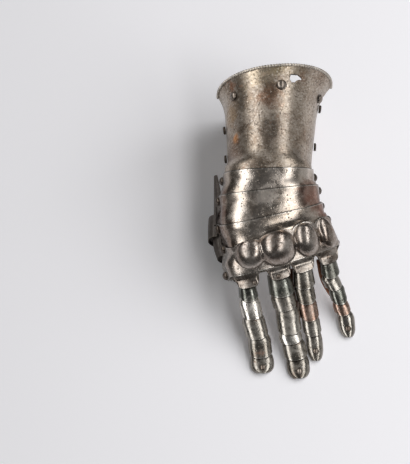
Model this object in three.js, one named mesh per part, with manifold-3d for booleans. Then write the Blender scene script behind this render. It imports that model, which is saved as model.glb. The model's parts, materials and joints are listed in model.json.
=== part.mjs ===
import * as THREE from 'three';
import { mergeVertices } from 'three/addons/utils/BufferGeometryUtils.js';
import Module from 'manifold-3d';

const wasm = await Module();
wasm.setup();

// Millimetres. +X towards the little finger, +Y towards the forearm, +Z up off the surface.
const plate = 1.3;            // steel thickness
const slide = 0.5;            // clearance between two lames at a pivot
const nest = plate + slide;   // how much smaller the inner lame of a pair is
const flat = 14;              // radius of the flat lobe round each pivot
const gap = 0.35;             // clearance between pieces that are fixed together
const leather = 1.5;

const steel = { cuff: 0x7d7064, lame: 0x8d867f, scale: 0x5d5c57, knuckle: 0x8a7a70, rivet: 0x9a958d };
const hide = 0x5a3526;

// Pivot axes from the wrist to the finger roots: centre, turn about Z, lean of the plane that
// stands on the axis, half width and height of the outer of the two plates that meet there.
const pivots = {
  wrist: { x: -10.3, y: 53.4, z: 50, turn: 2.5, lean: 21, half: 45.5, high: 47.0 },
  back1: { x: -10.2, y: 36.0, z: 47, turn: 7, lean: 26, half: 50.0, high: 43.5 },
  back2: { x: -9.0, y: 13.8, z: 42, turn: 14.5, lean: 32, half: 53.0, high: 40.5 },
  knuckle: { x: -3.0, y: -2.1, z: 36, turn: 18, lean: 37, half: 54.5, high: 37.0 },
  root: { x: 2.4, y: -26.0, z: 28, turn: 19, lean: 41, half: 58.0, high: 31.0 },
};

// Sections of the cuff: foot of the section, its lean, half width, height above and depth below.
const cuffSections = [
  { y: 74, z: 51, turn: 3, lean: 14, x: -8.6, half: 42.6, high: 44.8, deep: 33.0 },
  { y: 90, z: 52, turn: 3.5, lean: 9, x: -8.0, half: 43.6, high: 45.0, deep: 36.0 },
  { y: 108, z: 53, turn: 4, lean: 6, x: -7.2, half: 45.0, high: 45.6, deep: 39.5 },
  { y: 124, z: 54, turn: 4.5, lean: 5, x: -6.8, half: 46.4, high: 46.6, deep: 43.0 },
  { y: 136, z: 55, turn: 5, lean: 4.5, x: -5.8, half: 48.2, high: 48.4, deep: 47.0 },
  { y: 144, z: 55.5, turn: 5.5, lean: 4, x: -5.2, half: 50.8, high: 51.0, deep: 50.4 },
  { y: 150, z: 56, turn: 6, lean: 4, x: -4.0, half: 54.8, high: 53.8, deep: 52.7 },
  { y: 154, z: 56, turn: 6, lean: 4, x: -3.2, half: 58.0, high: 56.4, deep: 55.02 },
];
const rim = { radius: 2.4, sides: 7 };

// Knuckle bosses: place across the plate, half width, half length, height, scallop of the edge.
const bosses = [
  { name: 'index', across: -34.5, half: 14.0, length: 13.5, high: 9.0, scallop: 4.2, along: 0.40 },
  { name: 'middle', across: -6.2, half: 18.2, length: 17.5, high: 13.0, scallop: 6.8, along: 0.48 },
  { name: 'ring', across: 23.4, half: 13.0, length: 17.0, high: 10.0, scallop: 6.8, along: 0.48 },
  { name: 'little', across: 44.4, half: 9.6, length: 15.5, high: 6.6, scallop: 5.4, along: 0.48 },
];

// Finger scales from root to tip: length, place of the front edge across, full width, height of
// the arch at the front edge and slope. The strap shows beyond the scales on two fingers.
const fingers = {
  index: { across: -43, angle: 54, strapShows: 0, settle: 2.1, rows: [
    { length: 21.4, x: -28.5, width: 19.4, tall: 10.5, slope: 22 },
    { length: 18.3, x: -24.5, width: 21.4, tall: 11.0, slope: 24 },
    { length: 20.0, x: -19.5, width: 23.2, tall: 11.0, slope: 23 },
    { length: 19.0, x: -17.0, width: 23.2, tall: 9.5, slope: 19 },
    { length: 14.5, x: -16.0, width: 23.6, tall: 8.0, slope: 12 },
  ] },
  middle: { across: -10, angle: 53, strapShows: 0, settle: 1.9, rows: [
    { length: 25.6, x: 5.0, width: 25.6, tall: 12.0, slope: 21 },
    { length: 14.1, x: 8.6, width: 23.8, tall: 11.5, slope: 24 },
    { length: 24.1, x: 12.0, width: 24.0, tall: 11.5, slope: 22 },
    { length: 9.5, x: 15.0, width: 23.2, tall: 10.5, slope: 20 },
    { length: 16.4, x: 18.5, width: 23.2, tall: 9.5, slope: 17 },
    { length: 18.0, x: 21.0, width: 22.8, tall: 8.0, slope: 11 },
  ] },
  ring: { across: 15, angle: 53, strapShows: 1, settle: 3.8, rows: [
    { length: 24.5, x: 26.4, width: 22.4, tall: 11.0, slope: 25 },
    { length: 15.0, x: 29.2, width: 20.0, tall: 10.5, slope: 27 },
    { length: 16.8, x: 32.4, width: 19.4, tall: 10.0, slope: 24 },
    { length: 15.0, x: 34.8, width: 18.4, tall: 9.0, slope: 20 },
    { length: 24.0, x: 37.4, width: 16.8, tall: 8.0, slope: 12 },
  ] },
  little: { across: 43, angle: 53, strapShows: 1, settle: 2.8, rows: [
    { length: 23.2, x: 53.8, width: 18.6, tall: 10.0, slope: 28 },
    { length: 12.5, x: 59.0, width: 16.8, tall: 9.5, slope: 31 },
    { length: 15.0, x: 63.2, width: 16.0, tall: 9.0, slope: 27 },
    { length: 11.4, x: 67.0, width: 16.2, tall: 8.5, slope: 22 },
    { length: 21.6, x: 70.4, width: 16.8, tall: 8.0, slope: 12 },
  ] },
};

const group = new THREE.Group();
const deg = Math.PI / 180;

function add(name, geometry, colour, roughness = 0.5, metalness = 0.9) {
  const finish = new THREE.MeshStandardMaterial({ color: colour, roughness, metalness });
  const mesh = new THREE.Mesh(geometry, finish);
  mesh.name = name;
  group.add(mesh);
  return mesh;
}

// ---- walls from grids of points ----

function geometryOf(points, faces) {
  const geometry = new THREE.BufferGeometry();
  const flatList = [];
  for (const p of points) flatList.push(p.x, p.y, p.z);
  geometry.setAttribute('position', new THREE.Float32BufferAttribute(flatList, 3));
  geometry.setIndex(faces);
  geometry.computeVertexNormals();
  return geometry;
}

function gridNormal(rows, i, j) {
  const before = rows[Math.max(i - 1, 0)][j];
  const after = rows[Math.min(i + 1, rows.length - 1)][j];
  const left = rows[i][Math.max(j - 1, 0)];
  const right = rows[i][Math.min(j + 1, rows[i].length - 1)];
  const along = after.clone().sub(before);
  const across = right.clone().sub(left);
  return along.cross(across).normalize();
}

// Rows run from back to front and each row from left to right, on the outside of the wall.
function wall(rows, thick) {
  const count = rows.length;
  const wide = rows[0].length;
  const points = rows.flat();
  for (let i = 0; i < count; i += 1) {
    for (let j = 0; j < wide; j += 1) {
      const normal = gridNormal(rows, i, j);
      points.push(rows[i][j].clone().addScaledVector(normal, -thick));
    }
  }
  const inner = count * wide;
  const at = (i, j) => i * wide + j;
  const faces = [];
  const quad = (a, b, c, d) => faces.push(a, b, c, a, c, d);
  for (let i = 0; i + 1 < count; i += 1) {
    for (let j = 0; j + 1 < wide; j += 1) {
      const a = at(i, j);
      const b = at(i, j + 1);
      const c = at(i + 1, j + 1);
      const d = at(i + 1, j);
      quad(a, d, c, b);
      quad(inner + a, inner + b, inner + c, inner + d);
    }
  }
  for (let j = 0; j + 1 < wide; j += 1) {
    const a = at(0, j);
    const b = at(0, j + 1);
    quad(a, b, inner + b, inner + a);
    const c = at(count - 1, j + 1);
    const d = at(count - 1, j);
    quad(c, d, inner + d, inner + c);
  }
  for (let i = 0; i + 1 < count; i += 1) {
    const a = at(i, 0);
    const d = at(i + 1, 0);
    quad(d, a, inner + a, inner + d);
    const b = at(i, wide - 1);
    const c = at(i + 1, wide - 1);
    quad(b, c, inner + c, inner + b);
  }
  return geometryOf(points, faces);
}

function toManifold(geometry) {
  const position = geometry.attributes.position;
  return new wasm.Manifold(new wasm.Mesh({
    numProp: 3,
    vertProperties: new Float32Array(position.array),
    triVerts: new Uint32Array(geometry.index.array),
  }));
}

function fromManifold(solid) {
  const mesh = solid.getMesh();
  const points = [];
  for (let i = 0; i < mesh.vertProperties.length; i += mesh.numProp) {
    const [x, y, z] = mesh.vertProperties.slice(i, i + 3);
    points.push(new THREE.Vector3(x, y, z));
  }
  return geometryOf(points, Array.from(mesh.triVerts));
}

// ---- pivot frames and the arch that turns about them ----

function frameOf(pivot) {
  const turn = pivot.turn * deg;
  const lean = pivot.lean * deg;
  const across = new THREE.Vector3(Math.cos(turn), Math.sin(turn), 0);
  const ahead = new THREE.Vector3(Math.sin(turn), -Math.cos(turn), 0);
  const up = new THREE.Vector3(0, 0, Math.cos(lean)).addScaledVector(ahead, Math.sin(lean));
  const front = new THREE.Vector3(0, 0, -Math.sin(lean)).addScaledVector(ahead, Math.cos(lean));
  return { origin: new THREE.Vector3(pivot.x, pivot.y, pivot.z), across, up, front };
}

const power = (value, p) => Math.sign(value) * Math.abs(value) ** p;

// The arch from the left lobe over the back of the hand to the right lobe.
function archProfile(half, high, low, columns, fullness, lobe = flat) {
  const steps = 3;
  const list = [];
  for (let k = 0; k < steps; k += 1) {
    list.push({ x: -half, r: -low + ((lobe + low) * k) / steps });
  }
  for (let k = 0; k <= columns; k += 1) {
    const angle = (Math.PI * k) / columns;
    const x = -half * power(Math.cos(angle), 2 / fullness);
    list.push({ x, r: lobe + (high - lobe) * power(Math.sin(angle), 2 / fullness) });
  }
  for (let k = steps - 1; k >= 0; k -= 1) {
    list.push({ x: half, r: -low + ((lobe + low) * k) / steps });
  }
  return list;
}

function onPivot(frame, spot, ahead) {
  const drop = flat - Math.sqrt(Math.max(flat ** 2 - ahead ** 2, 0));
  const rise = spot.r >= flat ? Math.sqrt(spot.r ** 2 - ahead ** 2) : spot.r - drop;
  return frame.origin.clone()
    .addScaledVector(frame.across, spot.x)
    .addScaledVector(frame.up, rise)
    .addScaledVector(frame.front, ahead);
}

const archFull = 2.5;
const archColumns = 20;

function pivotRow(pivot, smaller, low, ahead, columns = archColumns) {
  const frame = frameOf(pivot);
  const spots = archProfile(pivot.half - smaller, pivot.high - smaller, low, columns, archFull);
  return spots.map((spot) => onPivot(frame, spot, typeof ahead === 'function' ? ahead(spot.x) : ahead));
}

const lobeLow = 8;

// A lame lies over the piece behind it at one pivot and under the piece ahead at the next.
function lameRows(behind, ahead) {
  const rows = [];
  for (const reach of [-5, 0, 5]) rows.push(pivotRow(behind, 0, lobeLow, reach));
  for (const reach of [-7, -1, 4.5]) rows.push(pivotRow(ahead, nest, lobeLow, reach));
  return rows;
}

// ---- the cuff ----

function cuffRow(section, columns) {
  const turn = (section.turn ?? 4) * deg;
  const frame = frameOf({ ...section, turn: turn / deg });
  const low = Math.min(12, 4 + (154 - section.y) * 0.45);
  const spots = archProfile(section.half, section.high, low, columns, 2.15, 1);
  return spots.map((spot) => frame.origin.clone()
    .addScaledVector(frame.across, spot.x)
    .addScaledVector(frame.up, spot.r));
}

function cuffOuterRows() {
  const rows = cuffSections.slice().reverse().map((section) => cuffRow(section, archColumns));
  for (const reach of [-9, -2, 4.5]) rows.push(pivotRow(pivots.wrist, nest, 12, reach));
  return rows;
}

function cuffInnerRow(section, columns) {
  const frame = frameOf(section);
  const half = section.half - plate - gap * 2.2 - section.flare;
  const list = [];
  const point = (x, z) => frame.origin.clone()
    .addScaledVector(frame.across, x)
    .addScaledVector(frame.up, z);
  const side = [[half - 0.9, 9], [half - 0.2, 3]];
  for (const [x, z] of side) list.push(point(x, z));
  for (let k = 0; k <= columns; k += 1) {
    const angle = (Math.PI * k) / columns;
    const full = section.y > 140 ? 2.05 : 2.4;
    const x = half * power(Math.cos(angle), 2 / full);
    list.push(point(x, -section.deep * power(Math.sin(angle), 2 / full)));
  }
  for (const [x, z] of side.slice().reverse()) list.push(point(-x, z));
  return list;
}

// A round bead along a row of points, closed at both ends.
function bead(path, radius, sides, offset, phase) {
  const points = [];
  const faces = [];
  const last = path.length - 1;
  path.forEach((spot, k) => {
    const ahead = path[Math.min(k + 1, last)].clone().sub(path[Math.max(k - 1, 0)]).normalize();
    const back = new THREE.Vector3(0, 1, 0);
    const out = back.clone().cross(ahead).normalize();
    const centre = spot.clone().addScaledVector(out, offset);
    for (let s = 0; s < sides; s += 1) {
      const angle = (2 * Math.PI * (s + phase)) / sides;
      points.push(centre.clone()
        .addScaledVector(out, radius * Math.cos(angle))
        .addScaledVector(back, radius * Math.sin(angle)));
    }
  });
  for (let k = 0; k < last; k += 1) {
    for (let s = 0; s < sides; s += 1) {
      const a = k * sides + s;
      const b = k * sides + ((s + 1) % sides);
      faces.push(a, a + sides, b, b, a + sides, b + sides);
    }
  }
  for (let s = 1; s + 1 < sides; s += 1) {
    faces.push(0, s, s + 1);
    const end = last * sides;
    faces.push(end, end + s + 1, end + s);
  }
  return geometryOf(points, faces);
}

function outward(geometry) {
  const solid = toManifold(geometry);
  if (solid.status() !== 'NoError') throw new Error(`not closed: ${solid.status()}`);
  if (solid.volume() > 0) return solid;
  const turned = Array.from(geometry.index.array).reverse();
  geometry.setIndex(turned);
  return toManifold(geometry);
}

// A ragged through hole near the rim, cut with a prism that stands on the cuff.
function raggedHole() {
  const outline = [
    { x: 12.0, y: 143.5 }, { x: 11.4, y: 139.5 }, { x: 13.4, y: 136.8 }, { x: 16.2, y: 137.6 },
    { x: 18.8, y: 140.0 }, { x: 22.6, y: 141.2 }, { x: 23.6, y: 143.0 }, { x: 19.0, y: 144.8 },
    { x: 15.0, y: 144.4 },
  ];
  const area = new wasm.CrossSection([outline.map((p) => [p.x, p.y])], 'Positive');
  return area.extrude(40).translate([0, 0, 80]);
}

function buildCuff() {
  const outerRows = cuffOuterRows();
  const outer = outward(wall(outerRows, plate));
  const bend = outward(bead(outerRows[0], rim.radius, rim.sides, 0.9, 0.5));
  const solid = outer.add(bend).subtract(raggedHole());
  add('cuff_outer', fromManifold(solid), steel.cuff, 0.55);
  const innerSections = [7, 5, 4, 3, 2, 0].map((k) => {
    const before = cuffSections[Math.max(k - 1, 0)];
    const steep = (cuffSections[k].half - before.half) / (cuffSections[k].y - before.y + 0.001);
    return { ...cuffSections[k], flare: 2.4 * steep };
  });
  innerSections.push({ ...cuffSections[0], y: 63, z: 50, half: 42.2, deep: 31.5, flare: 0 });
  const innerRows = innerSections.map((section) => cuffInnerRow(section, 15));
  const inner = outward(wall(innerRows, plate));
  const lowest = innerRows[0].filter((point) => point.z < cuffSections[7].z - 11);
  const innerBend = outward(bead(lowest, rim.radius, rim.sides, 0.9, 0));
  add('cuff_inner', fromManifold(inner.add(innerBend)), steel.cuff, 0.6);
  return outerRows;
}

// ---- lames and knuckle plate ----

function buildLames() {
  add('wrist_lame_1', wall(lameRows(pivots.wrist, pivots.back1), plate), steel.lame, 0.4);
  add('wrist_lame_2', wall(lameRows(pivots.back1, pivots.back2), plate), steel.lame, 0.4);
  const metacarpal = [];
  for (const reach of [-5, 0, 5]) metacarpal.push(pivotRow(pivots.back2, 0, lobeLow, reach, 28));
  for (const reach of [-9, -3, 4.5]) {
    metacarpal.push(pivotRow(pivots.knuckle, nest, lobeLow, reach, 28));
  }
  add('metacarpal_lame', wall(metacarpal, plate), steel.lame, 0.38);
}

// Evenly spaced over the knuckles, closer on the shoulders of the arch.
function knuckleSpots(half, high, columns) {
  const shares = [1, 0.992, 0.97, 0.935];
  for (let k = 1; k < columns; k += 1) shares.push(0.935 * (1 - (2 * k) / columns));
  for (const share of shares.slice(0, 4).reverse()) shares.push(-share);
  const spots = [];
  for (const r of [-lobeLow, 0]) spots.push({ x: -half, r });
  for (const share of shares) {
    const r = flat + (high - flat) * (1 - Math.abs(share) ** archFull) ** (1 / archFull);
    spots.push({ x: -half * share, r });
  }
  for (const r of [0, -lobeLow]) spots.push({ x: half, r });
  return spots;
}

const knuckleColumns = 34;

function knuckleRow(pivot, smaller, reach, lift = () => 0) {
  const frame = frameOf(pivot);
  const spots = knuckleSpots(pivot.half - smaller, pivot.high - smaller, knuckleColumns);
  return spots.map((spot) => {
    const raised = { x: spot.x, r: spot.r + (spot.r > flat + 1 ? lift(spot.x) : 0) };
    return onPivot(frame, raised, reach(spot.x, spot.r));
  });
}

function scallop(x) {
  let reach = -3.5;
  for (const boss of bosses) {
    const d = (x - boss.across) / (boss.half + 1);
    if (Math.abs(d) < 1) reach = Math.min(reach, -3.5 - boss.scallop * Math.sqrt(1 - d * d));
  }
  return reach;
}

function bossLift(x, share) {
  let lift = 0;
  for (const boss of bosses) {
    const dx = (x - boss.across) / boss.half;
    const ds = ((share - boss.along) * 34) / boss.length;
    const d2 = dx * dx + ds * ds;
    if (d2 < 1) lift = Math.max(lift, boss.high * (1 - d2) ** 0.62);
  }
  return lift;
}

const rise = (r) => THREE.MathUtils.smoothstep(r, 4, flat + 6);

function knuckleRows() {
  const base = [];
  for (const part of [0, 0.3, 0.6, 1]) {
    const reach = (x) => scallop(x) * (1 - part) + 4 * part;
    base.push(knuckleRow(pivots.knuckle, 0, reach));
  }
  for (const part of [-12.5, -9.5, -6.5, -3.5, 0]) {
    base.push(knuckleRow(pivots.root, 0, (x, r) => part + 5 - 7 * rise(r)));
  }
  const last = base.length - 1;
  return base.map((row, i) => row.map((point, j) => {
    const pivot = pivots.knuckle;
    const spot = knuckleSpots(pivot.half, pivot.high, knuckleColumns)[j];
    const lift = spot.r > flat + 1 ? bossLift(spot.x, i / last) : 0;
    return point.clone().addScaledVector(gridNormal(base, i, j), lift);
  }));
}

function rootArch(x) {
  let lift = 0;
  for (const name of Object.keys(fingers)) {
    const finger = fingers[name];
    const d = (x - finger.across) / 12.5;
    if (Math.abs(d) < 1) lift = Math.max(lift, 1.6 * Math.sqrt(1 - d * d));
  }
  return lift;
}

// Forward edge: a tongue over each finger and a notch between fingers.
function rootEdge(x, r) {
  let tongue = 0;
  for (const name of Object.keys(fingers)) {
    const finger = fingers[name];
    const d = Math.abs(x - finger.across) / 11;
    tongue = Math.max(tongue, Math.sqrt(Math.max(1 - d ** 4, 0)));
  }
  return 1 + 7.5 * tongue * rise(r);
}

// 1 midway between two fingers and 0 on a finger.
function betweenFingers(x) {
  const away = Object.values(fingers).map((finger) => Math.abs(x - finger.across));
  return THREE.MathUtils.smoothstep(Math.min(...away), 8.5, 13);
}

const tongueRivets = [
  { name: 'index_root_rivet', across: -37.5 },
  { name: 'middle_root_rivet', across: -13.5 },
];

function buildHand() {
  add('knuckle_plate', wall(knuckleRows(), plate), steel.knuckle, 0.35);
  const root = pivots.root;
  const rows = [
    knuckleRow(root, nest, (x, r) => -5 - 4 * rise(r)),
    knuckleRow(root, nest, () => 0),
    knuckleRow(root, nest, (x, r) => 4.5 - 5.5 * rise(r) * betweenFingers(x)),
  ];
  const spots = knuckleSpots(root.half - nest, root.high - nest, knuckleColumns);
  const frame = frameOf(root);
  const ahead = new THREE.Vector3(frame.across.y, -frame.across.x, 0);
  rows.push(rows[2].map((point, j) => {
    const reach = rootEdge(spots[j].x, spots[j].r);
    const slope = 30 * deg * rise(spots[j].r) + root.lean * deg * (1 - rise(spots[j].r));
    const next = point.clone().addScaledVector(ahead, reach * Math.cos(slope));
    next.z += rootArch(spots[j].x) * rise(spots[j].r) - reach * Math.sin(slope);
    return next;
  }));
  add('finger_root_lame', wall(rows, plate), steel.lame, 0.42);
  for (const rivet of tongueRivets) {
    const away = spots.map((spot) => (spot.r > flat ? Math.abs(spot.x - rivet.across) : 999));
    const j = away.indexOf(Math.min(...away));
    const normal = gridNormal(rows, 3, j).add(gridNormal(rows, 2, j)).normalize();
    const centre = rows[2][j].clone().lerp(rows[3][j], 0.55).addScaledVector(normal, gap);
    dome(rivet.name, centre, normal, 2.1, 1.6);
  }
}

// ---- fingers ----

const scaleWall = 1.1;
const scaleColumns = 7;

// Cross section of a finger scale: a half oval arch.
function scaleRow(centre, frame, half, tall, reach) {
  const row = [];
  for (let k = 0; k <= scaleColumns; k += 1) {
    const angle = (Math.PI * k) / scaleColumns;
    const side = -half * power(Math.cos(angle), 0.85);
    const share = Math.abs(side / half);
    row.push(centre.clone()
      .addScaledVector(frame.across, side)
      .addScaledVector(frame.up, tall * (power(Math.sin(angle), 0.85) - 1))
      .addScaledVector(frame.front, reach(share)));
  }
  return row;
}

function fingerStart(finger) {
  const pivot = pivots.root;
  const frame = frameOf(pivot);
  const high = pivot.high - nest - flat;
  const x = finger.across / (pivot.half - nest);
  const r = flat + high * (1 - Math.abs(x) ** archFull) ** (1 / archFull) - plate - 1.0;
  const angle = (finger.angle - pivot.lean) * deg;
  return frame.origin.clone()
    .addScaledVector(frame.across, finger.across)
    .addScaledVector(frame.up, r * Math.cos(angle))
    .addScaledVector(frame.front, r * Math.sin(angle));
}

// Points along the back of one finger, a point at each scale's front edge.
function fingerPath(finger) {
  const path = [fingerStart(finger)];
  const whole = finger.rows.reduce((sum, row) => sum + row.length, 0);
  for (const row of finger.rows) {
    const from = path[path.length - 1];
    const fall = row.length * (Math.sin(row.slope * deg) + finger.settle / whole);
    const level = row.length * Math.cos(row.slope * deg);
    const ahead = Math.sqrt(level ** 2 - (row.x - from.x) ** 2);
    path.push(new THREE.Vector3(row.x, from.y - ahead, from.z - fall));
  }
  return path;
}

function scaleFrame(from, to) {
  const front = to.clone().sub(from).normalize();
  const across = front.clone().cross(new THREE.Vector3(0, 0, 1)).negate().normalize();
  across.multiplyScalar(across.x < 0 ? -1 : 1);
  const up = across.clone().cross(front).normalize();
  up.multiplyScalar(up.z < 0 ? -1 : 1);
  return { front, across, up };
}

const under = 1.8;   // how much smaller a scale is where it passes under the one before it
const lap = 4;
const shoulder = 2.6;   // a scale comes to nearly its full width this far past the one before it
const swept = 6.5;   // how far the front corners of a scale are swept back

function mix(a, b, share) {
  return {
    half: a.half + (b.half - a.half) * share,
    tall: a.tall + (b.tall - a.tall) * share,
    sink: a.sink + (b.sink - a.sink) * share,
  };
}

// Size of scale k at its hidden back edge and at its front edge.
function scaleEnds(rows, k) {
  const front = { half: rows[k].width / 2, tall: rows[k].tall, sink: 0 };
  const before = k === 0 ? { half: front.half + 0.3, tall: front.tall } : {
    half: rows[k - 1].width / 2, tall: rows[k - 1].tall,
  };
  return { back: { half: before.half - under, tall: before.tall - under, sink: under }, front };
}

function scaleRows(path, finger, k, tip) {
  const frame = scaleFrame(path[k], path[k + 1]);
  const { back, front } = scaleEnds(finger.rows, k);
  const rows = [];
  const place = (centre, axes, size, curve) => {
    const spot = centre.clone().addScaledVector(axes.up, -size.sink);
    return scaleRow(spot, axes, size.half, size.tall, (side) => -curve * side ** 3);
  };
  if (k > 0) {
    const earlier = scaleFrame(path[k - 1], path[k]);
    const ends = scaleEnds(finger.rows, k - 1);
    const share = 1 - lap / finger.rows[k - 1].length;
    const hidden = mix(ends.back, ends.front, share);
    hidden.half -= under;
    hidden.tall -= under;
    hidden.sink += under;
    const spot = path[k].clone().addScaledVector(earlier.front, -lap);
    rows.push(place(spot, earlier, hidden, swept));
    rows.push(place(path[k], earlier, back, swept));
    const wide = mix(back, front, shoulder / finger.rows[k].length);
    wide.half = front.half + (back.half - front.half) * 0.25;
    rows.push(place(path[k].clone().addScaledVector(frame.front, shoulder), frame, wide, swept * 0.9));
  } else {
    rows.push(place(path[0], frame, back, 0));
  }
  for (const share of tip ? [0.42, 0.78, 1] : [1]) {
    const size = mix(back, front, share);
    const round = tip ? Math.sqrt(1 - (Math.max(share - 0.4, 0) / 0.67) ** 2) : 1;
    size.half *= round;
    size.sink += tip ? 2.0 * share ** 3 : 0;
    size.tall = tip ? (size.tall - 2.0 * share ** 3) * (0.45 + 0.55 * round) : size.tall;
    if (k > 0) size.half = front.half * (tip ? round : 1);
    rows.push(place(path[k].clone().lerp(path[k + 1], share), frame, size, tip ? 0.8 : swept));
  }
  return rows;
}

// Leather strap under the scales: an arch, with a lip that shows on the thumb side of some.
function strapRow(centre, frame, half, tall, bottom, lip) {
  const inside = half - 4.9;
  const deep = tall - 4.2;
  const arch = [40, 78, 118, 158].map((angle) => ({
    side: -inside * power(Math.cos(angle * deg), 0.85),
    low: 4.1 + deep * (1 - power(Math.sin(angle * deg), 0.85)),
  }));
  const edge = [{ side: -inside - lip.out, low: bottom + lip.low }, {
    side: -inside, low: lip.out > 0 ? bottom + lip.low - 0.3 : 4.1 + deep * 0.7,
  }];
  return [...edge, ...arch].map(({ side, low }) => centre.clone()
    .addScaledVector(frame.across, side)
    .addScaledVector(frame.up, -low));
}

// How far the thumb-side edge of the strap stands out and hangs below the scales.
function lipAt(k, last, shows) {
  if (!shows || k >= last) return { out: 0, low: -0.9 };
  if (k === last - 1) return { out: 0, low: 1.9 };
  return k === last - 2 ? { out: 3.9, low: 2.5 } : { out: 5.1, low: 1.9 };
}

function buildStrap(name, path) {
  const finger = fingers[name];
  const last = finger.rows.length - 1;
  const shows = finger.strapShows > 0;
  const rows = [];
  for (let k = 0; k <= last; k += 1) {
    const frame = scaleFrame(path[Math.max(k - 1, 0)], path[k === 0 ? 1 : k + 1]);
    const row = finger.rows[Math.max(k - 1, 0)];
    const next = finger.rows[k];
    const half = Math.min(row.width, next.width) / 2;
    const tall = Math.min(row.tall, next.tall);
    const start = k === 0 ? path[0].clone().lerp(path[1], 0.1) : path[k];
    const bottom = k < last ? Math.max(row.tall, next.tall) : tall;
    rows.push(strapRow(start, frame, half, tall, bottom, lipAt(k, last, shows)));
  }
  const frame = scaleFrame(path[last], path[last + 1]);
  const end = path[last].clone().lerp(path[last + 1], 0.4);
  const tip = finger.rows[last];
  const low = tip.tall - 0.8;
  rows.push(strapRow(end, frame, tip.width / 2 - 0.6, low, low, { out: 0, low: -0.9 }));
  add(`${name}_strap`, wall(rows, leather), hide, 0.85, 0);
}

function buildFinger(name) {
  const finger = fingers[name];
  const path = fingerPath(finger);
  finger.rows.forEach((row, k) => {
    const tip = k === finger.rows.length - 1;
    const label = tip ? `${name}_tip_scale` : `${name}_scale_${k + 1}`;
    add(label, wall(scaleRows(path, finger, k, tip), scaleWall), steel.scale, 0.45);
  });
  buildStrap(name, path);
  return path;
}

// ---- thumb ----

// Sections of the thumb plates from the wrist forward: place along Y, how far the section is
// moved in X and Z from the hinge, its size and how far the edge curls in underneath.
const hingeAxis = { x: -64.0, z: 27.5 };
const thumbPlates = {
  thumb_plate: [
    { y: 74, x: 0.8, z: -4.0, size: 0.34, under: 0.2 },
    { y: 60, x: 2.2, z: -2.0, size: 0.60, under: 0.5 },
    { y: 42, x: 3.3, z: -0.8, size: 0.82, under: 0.9 },
    { y: 21, x: 3.6, z: -0.8, size: 0.90, under: 1.0 },
  ],
  thumb_scale_1: [
    { y: 26, x: -1.0, z: 0.6, size: 1.04, under: 0.9 },
    { y: 14, x: -1.6, z: -0.2, size: 1.02, under: 1.0 },
    { y: 2, x: -1.8, z: -2.0, size: 0.96, under: 1.0 },
  ],
  thumb_scale_2: [
    { y: 7, x: 1.8, z: -4.0, size: 0.84, under: 0.9 },
    { y: -6, x: 3.4, z: -5.6, size: 0.82, under: 1.0 },
    { y: -17, x: 6.4, z: -7.6, size: 0.74, under: 1.0 },
  ],
  thumb_tip_scale: [
    { y: -13, x: 8.8, z: -10.0, size: 0.58, under: 0.9 },
    { y: -24, x: 12.4, z: -12.0, size: 0.57, under: 1.0 },
    { y: -33, x: 16.4, z: -14.5, size: 0.47, under: 0.9 },
    { y: -38, x: 19.9, z: -18.5, size: 0.30, under: 0.6 },
  ],
};

function thumbRow(row) {
  const outline = [
    { x: 4, z: -0.6 }, { x: 0, z: -1.4 }, { x: -3.6, z: -4.4 }, { x: -5.2, z: -9.5 },
    { x: -5.0, z: -15 }, { x: -2.6, z: -20 }, { x: 2.4, z: -24.4 }, { x: 9.0, z: -26.4 },
  ];
  return outline.map((spot, k) => {
    const tuck = k > 5 ? row.under : 1;
    return new THREE.Vector3(
      hingeAxis.x + row.x + spot.x * row.size * (spot.x > 0 ? tuck : 1),
      row.y,
      hingeAxis.z + row.z + spot.z * row.size,
    );
  });
}

// Barrel hinge of the thumb: a leaf on the side of the second wrist lame and a round barrel.
function thumbHinge() {
  const leaf = new THREE.BoxGeometry(1.2, 13, 13);
  leaf.translate(hingeAxis.x + 1.2, 19.5, hingeAxis.z + 8.2);
  const barrel = new THREE.CylinderGeometry(2.0, 2.0, 15, 8);
  barrel.translate(hingeAxis.x + 0.9, 19.5, hingeAxis.z + 1.6);
  const bar = toManifold(mergedBox(leaf)).add(toManifold(mergedBox(barrel)));
  add('thumb_hinge', fromManifold(bar), steel.cuff, 0.5);
}

// The corners of a box or cylinder welded, so that it is one closed surface.
function mergedBox(geometry) {
  const bare = geometry.clone();
  bare.deleteAttribute('normal');
  bare.deleteAttribute('uv');
  return mergeVertices(bare, 1e-4);
}

function buildThumb() {
  thumbHinge();
  for (const [name, table] of Object.entries(thumbPlates)) {
    const rows = table.map((row) => thumbRow(row).reverse());
    add(name, wall(rows, 1.2), steel.cuff, 0.6);
  }
}

function outwardGeometry(geometry) {
  outward(geometry);
  return geometry;
}

// ---- rivets ----

function dome(name, centre, normal, radius, high, colour = steel.rivet) {
  const out = normal.clone().normalize();
  const side = new THREE.Vector3(0.3, 0.1, 1).cross(out).normalize();
  const other = out.clone().cross(side).normalize();
  const sides = 7;
  const rings = [{ r: 1, h: 0 }, { r: 0.94, h: 0.45 }, { r: 0.6, h: 0.88 }];
  const points = [];
  const faces = [];
  for (const ring of rings) {
    for (let s = 0; s < sides; s += 1) {
      const angle = (2 * Math.PI * s) / sides;
      points.push(centre.clone()
        .addScaledVector(side, radius * ring.r * Math.cos(angle))
        .addScaledVector(other, radius * ring.r * Math.sin(angle))
        .addScaledVector(out, high * ring.h));
    }
  }
  points.push(centre.clone().addScaledVector(out, high));
  for (let k = 0; k + 1 < rings.length; k += 1) {
    for (let s = 0; s < sides; s += 1) {
      const a = k * sides + s;
      const b = k * sides + ((s + 1) % sides);
      faces.push(a, b, a + sides, b, b + sides, a + sides);
    }
  }
  const top = (rings.length - 1) * sides;
  for (let s = 0; s < sides; s += 1) faces.push(top + s, top + ((s + 1) % sides), points.length - 1);
  for (let s = 1; s + 1 < sides; s += 1) faces.push(0, s + 1, s);
  add(name, outwardGeometry(geometryOf(points, faces)), colour, 0.3);
}

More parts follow.
